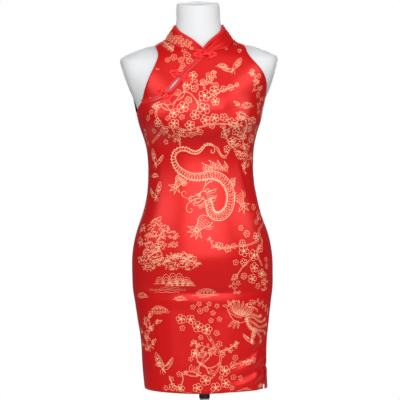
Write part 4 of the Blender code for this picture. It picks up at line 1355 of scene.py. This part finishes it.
# rounded masses of leaves: middle in the view, width and height in mm
CANOPIES = (
    (157, 221.7, 30, 20), (142.4, 229, 24, 18), (153, 234.7, 28, 18), (165.4, 229.9, 28, 18),
    (173, 235.5, 26, 18), (140.5, 242.3, 22, 19), (149, 244.5, 26, 17), (160, 245.5, 32, 18),
    (173, 245, 22, 15), (147, 252.8, 28, 18), (142, 260.5, 28, 20), (153, 258.6, 30, 22),
    (161, 237, 22, 14), (147, 237, 20, 15), (151, 227, 20, 13), (155, 251, 26, 15),
    (149, 267, 36, 18), (161.6, 262, 30, 22), (171, 257.6, 26, 17), (181.7, 256.2, 30, 20),
    (191, 260, 26, 18), (196, 265.5, 18, 13), (184, 265, 30, 15), (173, 266.5, 30, 15),
    (245, 118, 24, 17), (253, 121, 26, 18), (238, 126, 24, 17), (248, 129, 28, 18),
    (256, 131, 24, 20), (241, 137, 30, 20), (252, 139, 28, 20), (235, 145, 26, 16),
    (246, 147, 30, 20), (255, 149, 24, 20), (242, 156, 26, 18), (251, 158, 30, 20),
    (246, 166, 26, 15), (237, 152, 16, 12), (254, 168, 22, 15), (146, 320, 14, 12),
    (149, 329, 15, 14), (147, 339, 16, 13), (151, 347, 14, 11), (252, 74, 18, 14),
    (257, 81, 15, 12), (259, 90, 12, 12),
)
# tufts of needles: place and radius in mm
FANS = (
    (168, 262, 9), (176, 256, 9), (184, 262, 9), (191, 257, 9), (198, 264, 8), (172, 270, 8),
    (188, 270, 8),
)
PINE_TRUNKS = (
    ((158, 266), (162, 256), (158, 244), (162, 232)), ((164, 262), (176, 256), (190, 260)),
    ((160, 250), (150, 256), (146, 262)),
)
# place and turn; each stands for a pair of leaves
LEAVES = (
    (150, 318, 60), (147, 325, 120), (152, 331, 70), (147, 339, 110), (153, 345, 60),
    (148, 350, 130), (156, 324, 30), (143, 332, 150), (144, 345, 140), (149, 102, 25),
    (152, 107, -10), (240, 104, 160), (266, 226, 80),
)

# %% The dragon's path, feet and flames
# path of the body's middle, from the tail to the head, and (share of its length, width in mm)
DRAGON = (
    (213, 145.3), (209, 144.3), (205, 145.5), (201.4, 149.7), (197.2, 152.5), (192, 152.2),
    (186.7, 149.6), (181, 149.2), (176, 151.8), (173.6, 157), (174.9, 163), (178.4, 168.7),
    (184, 173), (191.6, 176.2), (199.5, 176.6), (207.7, 175), (215.4, 175.2), (222, 178.2),
    (227.4, 184.1), (230.7, 192.5), (230.9, 201), (228.6, 209.4), (223, 215.4), (216, 216.6),
    (210.8, 212.6), (209, 205.2), (207.5, 200),
)
DRAGON_WIDTHS = (
    (0, 2.6), (0.06, 4), (0.14, 7), (0.3, 10), (0.42, 14), (0.55, 17), (0.85, 18), (1, 13),
)
TAIL_CURLS = (
    ((212, 144.6), (214.6, 147.8), (214.4, 151.8), (212, 153), (210.8, 150.8), (212.4, 149.6)),
    ((213, 145), (218.2, 148.3), (221, 154), (225.2, 156.2), (227.9, 153), (226.2, 151.2),
     (224.8, 153)),
    ((216, 148.2), (219, 153), (222.6, 157.4), (226.6, 157.8)),
)
# place, turn, size and number of claws
FEET = ((175, 187, -35, 0.95, 4), (243, 206, 28, 1.05, 4), (196, 230, -42, 1.2, 5))
# place, turn, tongues and their length in mm
FLAMES = (
    (206, 173, 20, 5, 26), (216, 170, -10, 5, 24), (230, 181, -60, 3, 16), (186, 180, 150, 4, 16),
)


# %% Drawing the figure
def figure(place):
    """Draws the whole figure; place(px, py) gives the flat place."""
    def at(px, py, turn=0.0, size=1.0, faces=1):
        return stand(place(px, py), turn, size, faces)

    def trail(path):
        return [place(*there) for there in path]

    for px, py, radius in BLOSSOMS:
        blossom(at(px, py), radius)
    for px, py in SMALL_BLOSSOMS:
        small_blossom(at(px, py), chance.uniform(4.4, 5.8))
    for path, thick, thin in BOUGHS:
        bough(trail(path), thick, thin)
    for path in SPRAYS:
        spray(trail(path))
    for px, py, wide, turn in CLOUDS:
        cloud(at(px, py, turn), wide)
    for px, py, turn, size, faces, spread in BUTTERFLIES:
        butterfly(at(px, py, turn, 1.0, faces), size, spread)
    for px, py, turn, size, faces in BIRDS:
        bird(at(px, py, turn, 1.0, faces), size)
    for px, py, wide, tall in CANOPIES:
        foliage(at(px, py), wide, tall)
    for px, py, radius in FANS:
        needle_fan(at(px, py), radius)
    for path in PINE_TRUNKS:
        bough(trail(path), 2.2, 1.4)
    rocks(at(173, 284), 78, 24)
    rocks(at(180, 286), 60, 17)
    water(at(166, 288), 92)
    for px, py, turn in LEAVES:
        long_leaf(at(px, py, turn), 17, 4.2)
        long_leaf(at(px, py, turn + 34), 12, 3.2)
    bough(trail(((150, 352), (147, 340), (150, 328), (148, 316))), 3.4, 1.8)
    coil(trail(DRAGON), DRAGON_WIDTHS)
    dragon_head(at(203, 197, 24, 1.05))
    for px, py, turn, size, claws in FEET:
        claw_foot(at(px, py, turn, size), claws)
    for path in TAIL_CURLS:
        line(trail(path), 1.9, ends=0.6)
    for px, py, turn, tongues, reach in FLAMES:
        flame(at(px, py, turn), tongues, reach)
    phoenix(at(243, 318, -6, 0.86))


# %% The front, with the yoke and the sides
# place in the view and turn of small curls on the left shoulder
CURLS = ((226, 48, 30), (234, 43, 60), (240, 51, 10), (246, 47, 40))
# flat place in metres and radius in mm; the same on both sides, one a little higher
SIDE_BLOSSOMS = (
    (0.201, 0.712, 9), (0.231, 0.738, 10), (0.206, 0.778, 9), (0.227, 0.806, 8), (0.199, 0.835, 8),
    (0.178, 0.992, 9), (0.196, 1.016, 10), (0.172, 1.040, 8), (0.240, 0.662, 9), (0.212, 0.650, 8),
)
SIDE_SPRAYS = (
    ((0.206, 0.628), (0.218, 0.690), (0.210, 0.745), (0.220, 0.800), (0.207, 0.842)),
    ((0.188, 0.972), (0.184, 1.010), (0.176, 1.052), (0.180, 1.080)),
)
SIDE_SHIFT = 0.012

figure(spot)
for px, py, radius in YOKE_BLOSSOMS:
    small_blossom(stand(spot(px, py)), radius * 0.94)
spray([spot(*there) for there in ((163, 41), (167, 45), (173, 50))], 3, 5)
arc(stand(spot(158, 67.5), -10), 0, 0, 4.5, 200, 120)
for px, py, turn in CURLS:
    arc(stand(spot(px, py), turn), 0, 0, 4.5, 0, 250)
    arc(stand(spot(px, py), turn), 2, 0, 2.2, 20, 250)
for side in (-1, 1):
    for along, height, radius in SIDE_BLOSSOMS:
        blossom(stand(Vector((side * along, height + SIDE_SHIFT * side))), radius)
    for path in SIDE_SPRAYS:
        spray([(side * along, height + SIDE_SHIFT * side) for along, height in path])
    cloud(stand(Vector((side * 0.216, 0.878))), 46)
    butterfly(stand(Vector((side * 0.208, 0.926)), 10, 1.0, side), 1.1)
FRONT_INK, INK = INK, []
print("lines in front:", len(FRONT_INK))

# %% The back
BACK_SQUARE, BACK_ROW = 2.75 * MM, 2.29 * MM     # one square of the view on the flat back
BACK_MIDDLE, BACK_TOP, TOP_ROW = 202, 1.40, 32
for rows_down in (-148, 188):
    figure(lambda px, py: Vector(((px - BACK_MIDDLE) * BACK_SQUARE,
                                  BACK_TOP - (py + rows_down - TOP_ROW) * BACK_ROW)))
BACK_INK, INK = INK, []
print("lines behind:", len(BACK_INK))

# %% [markdown]
# ## Laying the figure on the cloth
# Both edges of a line are looked up on the creased cloth, point by point, and lifted a hair's
# breadth. One edge becomes a chain of bmesh edges that remembers where the other edge lies, and
# extruding the chain to it gives the ribbon. Where the next point is off the cloth or on another
# panel the chain breaks, so the figure stops at seams as a cut print does.

# %% Laying the figure on the cloth
PRINT_RISE = 0.14 * MM
GAP_MOST = 8 * MM        # a line is broken where two of its points lie further apart


def ribbons(ink, turn_at, net, owner_of, pieces, seen):
    """Lays lines on the cloths: one mesh for each. seen(turn) says where this ink may lie."""
    bms = [bmesh.new() for _ in pieces]
    others = [bm.verts.layers.float_vector.new("other") for bm in bms]

    def lay(place):
        turn = turn_at(place.x, place.y)
        hit, normal, index, _ = inward(net, turn, place.y)
        if hit is None or not seen(turn) or not faces_out(normal, turn):
            return None          # off the cloth, or through an opening to its inner face
        return hit + normal * PRINT_RISE, owner_of[index]

    for left, right in ink:
        laid = [lay(place) for place in left]
        if right is None:
            if all(laid) and len({owner for _, owner in laid}) == 1:
                bm = bms[laid[0][1]]
                bm.faces.new([bm.verts.new(place) for place, _ in laid])
            continue
        other = [lay(place) for place in right]
        before = None
        for here, there in zip(laid, other):
            if here is None or there is None or here[1] != there[1]:
                before = None
                continue
            bm = bms[here[1]]
            vert = bm.verts.new(here[0])
            vert[others[here[1]]] = there[0]
            if before and before[0] == here[1] and (before[1].co - vert.co).length < GAP_MOST:
                bm.edges.new((before[1], vert))
            before = (here[1], vert)
    return bms


def finish_print(bm, name):
    """Extrudes the chains to ribbons, turns them outward and makes the piece."""
    layer = bm.verts.layers.float_vector["other"]
    chains = [edge for edge in bm.edges if not edge.link_faces]
    made = bmesh.ops.extrude_edge_only(bm, edges=chains)["geom"]
    for vert in [part for part in made if isinstance(part, bmesh.types.BMVert)]:
        vert.co = vert[layer]
    bmesh.ops.delete(bm, geom=[vert for vert in bm.verts if not vert.link_faces], context="VERTS")
    bm.normal_update()
    inside_out = [face for face in bm.faces
                  if face.normal.dot(Vector((*face.calc_center_median().xy, 0))) < 0]
    bmesh.ops.reverse_faces(bm, faces=inside_out)
    return stands_for(as_object(name, bm, GOLD), "satin")


def turn_behind(across, height):
    """The turn of a place on the back, across counted from the centre back."""
    row, _ = between_rows(height)
    end = GIRTH[row][-1] if across < 0 else GIRTH[row][0]
    return turn_of(end + across, height)


# %% The panels' prints
front = ribbons(FRONT_INK, turn_of, tree, owners, PANELS,
                lambda turn: abs(turn) < math.radians(150))
back = ribbons(BACK_INK, turn_behind, tree, owners, PANELS,
               lambda turn: abs(turn) > math.radians(60))
for node, from_front, from_back in zip(PANELS, front, back):
    kept, spare = (from_back, from_front) if node == "back_panel" else (from_front, from_back)
    spare.free()
    finish_print(kept, node.replace("panel", "print"))

# %% [markdown]
# ## The collar's own figure
# One half of the band is strewn with small blossoms and the other is plain, as a band cut from the
# middle of the figure would be. Steps of the golden section spread them evenly without rows.

# %% Blossoms on the collar
GOLDEN = 0.618
for k in range(54):
    along = -0.014 - 0.0036 * k
    low = 1.355 + 0.36 * min(-along, 0.085)
    place = Vector((along, low + (6 + 19 * (k * GOLDEN % 1)) * MM))
    small_blossom(stand(place), chance.uniform(2.8, 3.8))
collar_tree, collar_owners = nets([collar])
strewn = ribbons(INK, lambda along, height: along / COLLAR_REACH, collar_tree, collar_owners,
                 [collar], lambda turn: -math.pi < turn < 0)
COLLAR_PRINT = finish_print(strewn[0], "collar_print")
print(COLLAR_PRINT.name, len(COLLAR_PRINT.data.polygons), "faces")


# %% [markdown]
# ## Last of all
# The view layer is brought up to date.

bpy.context.view_layer.update()
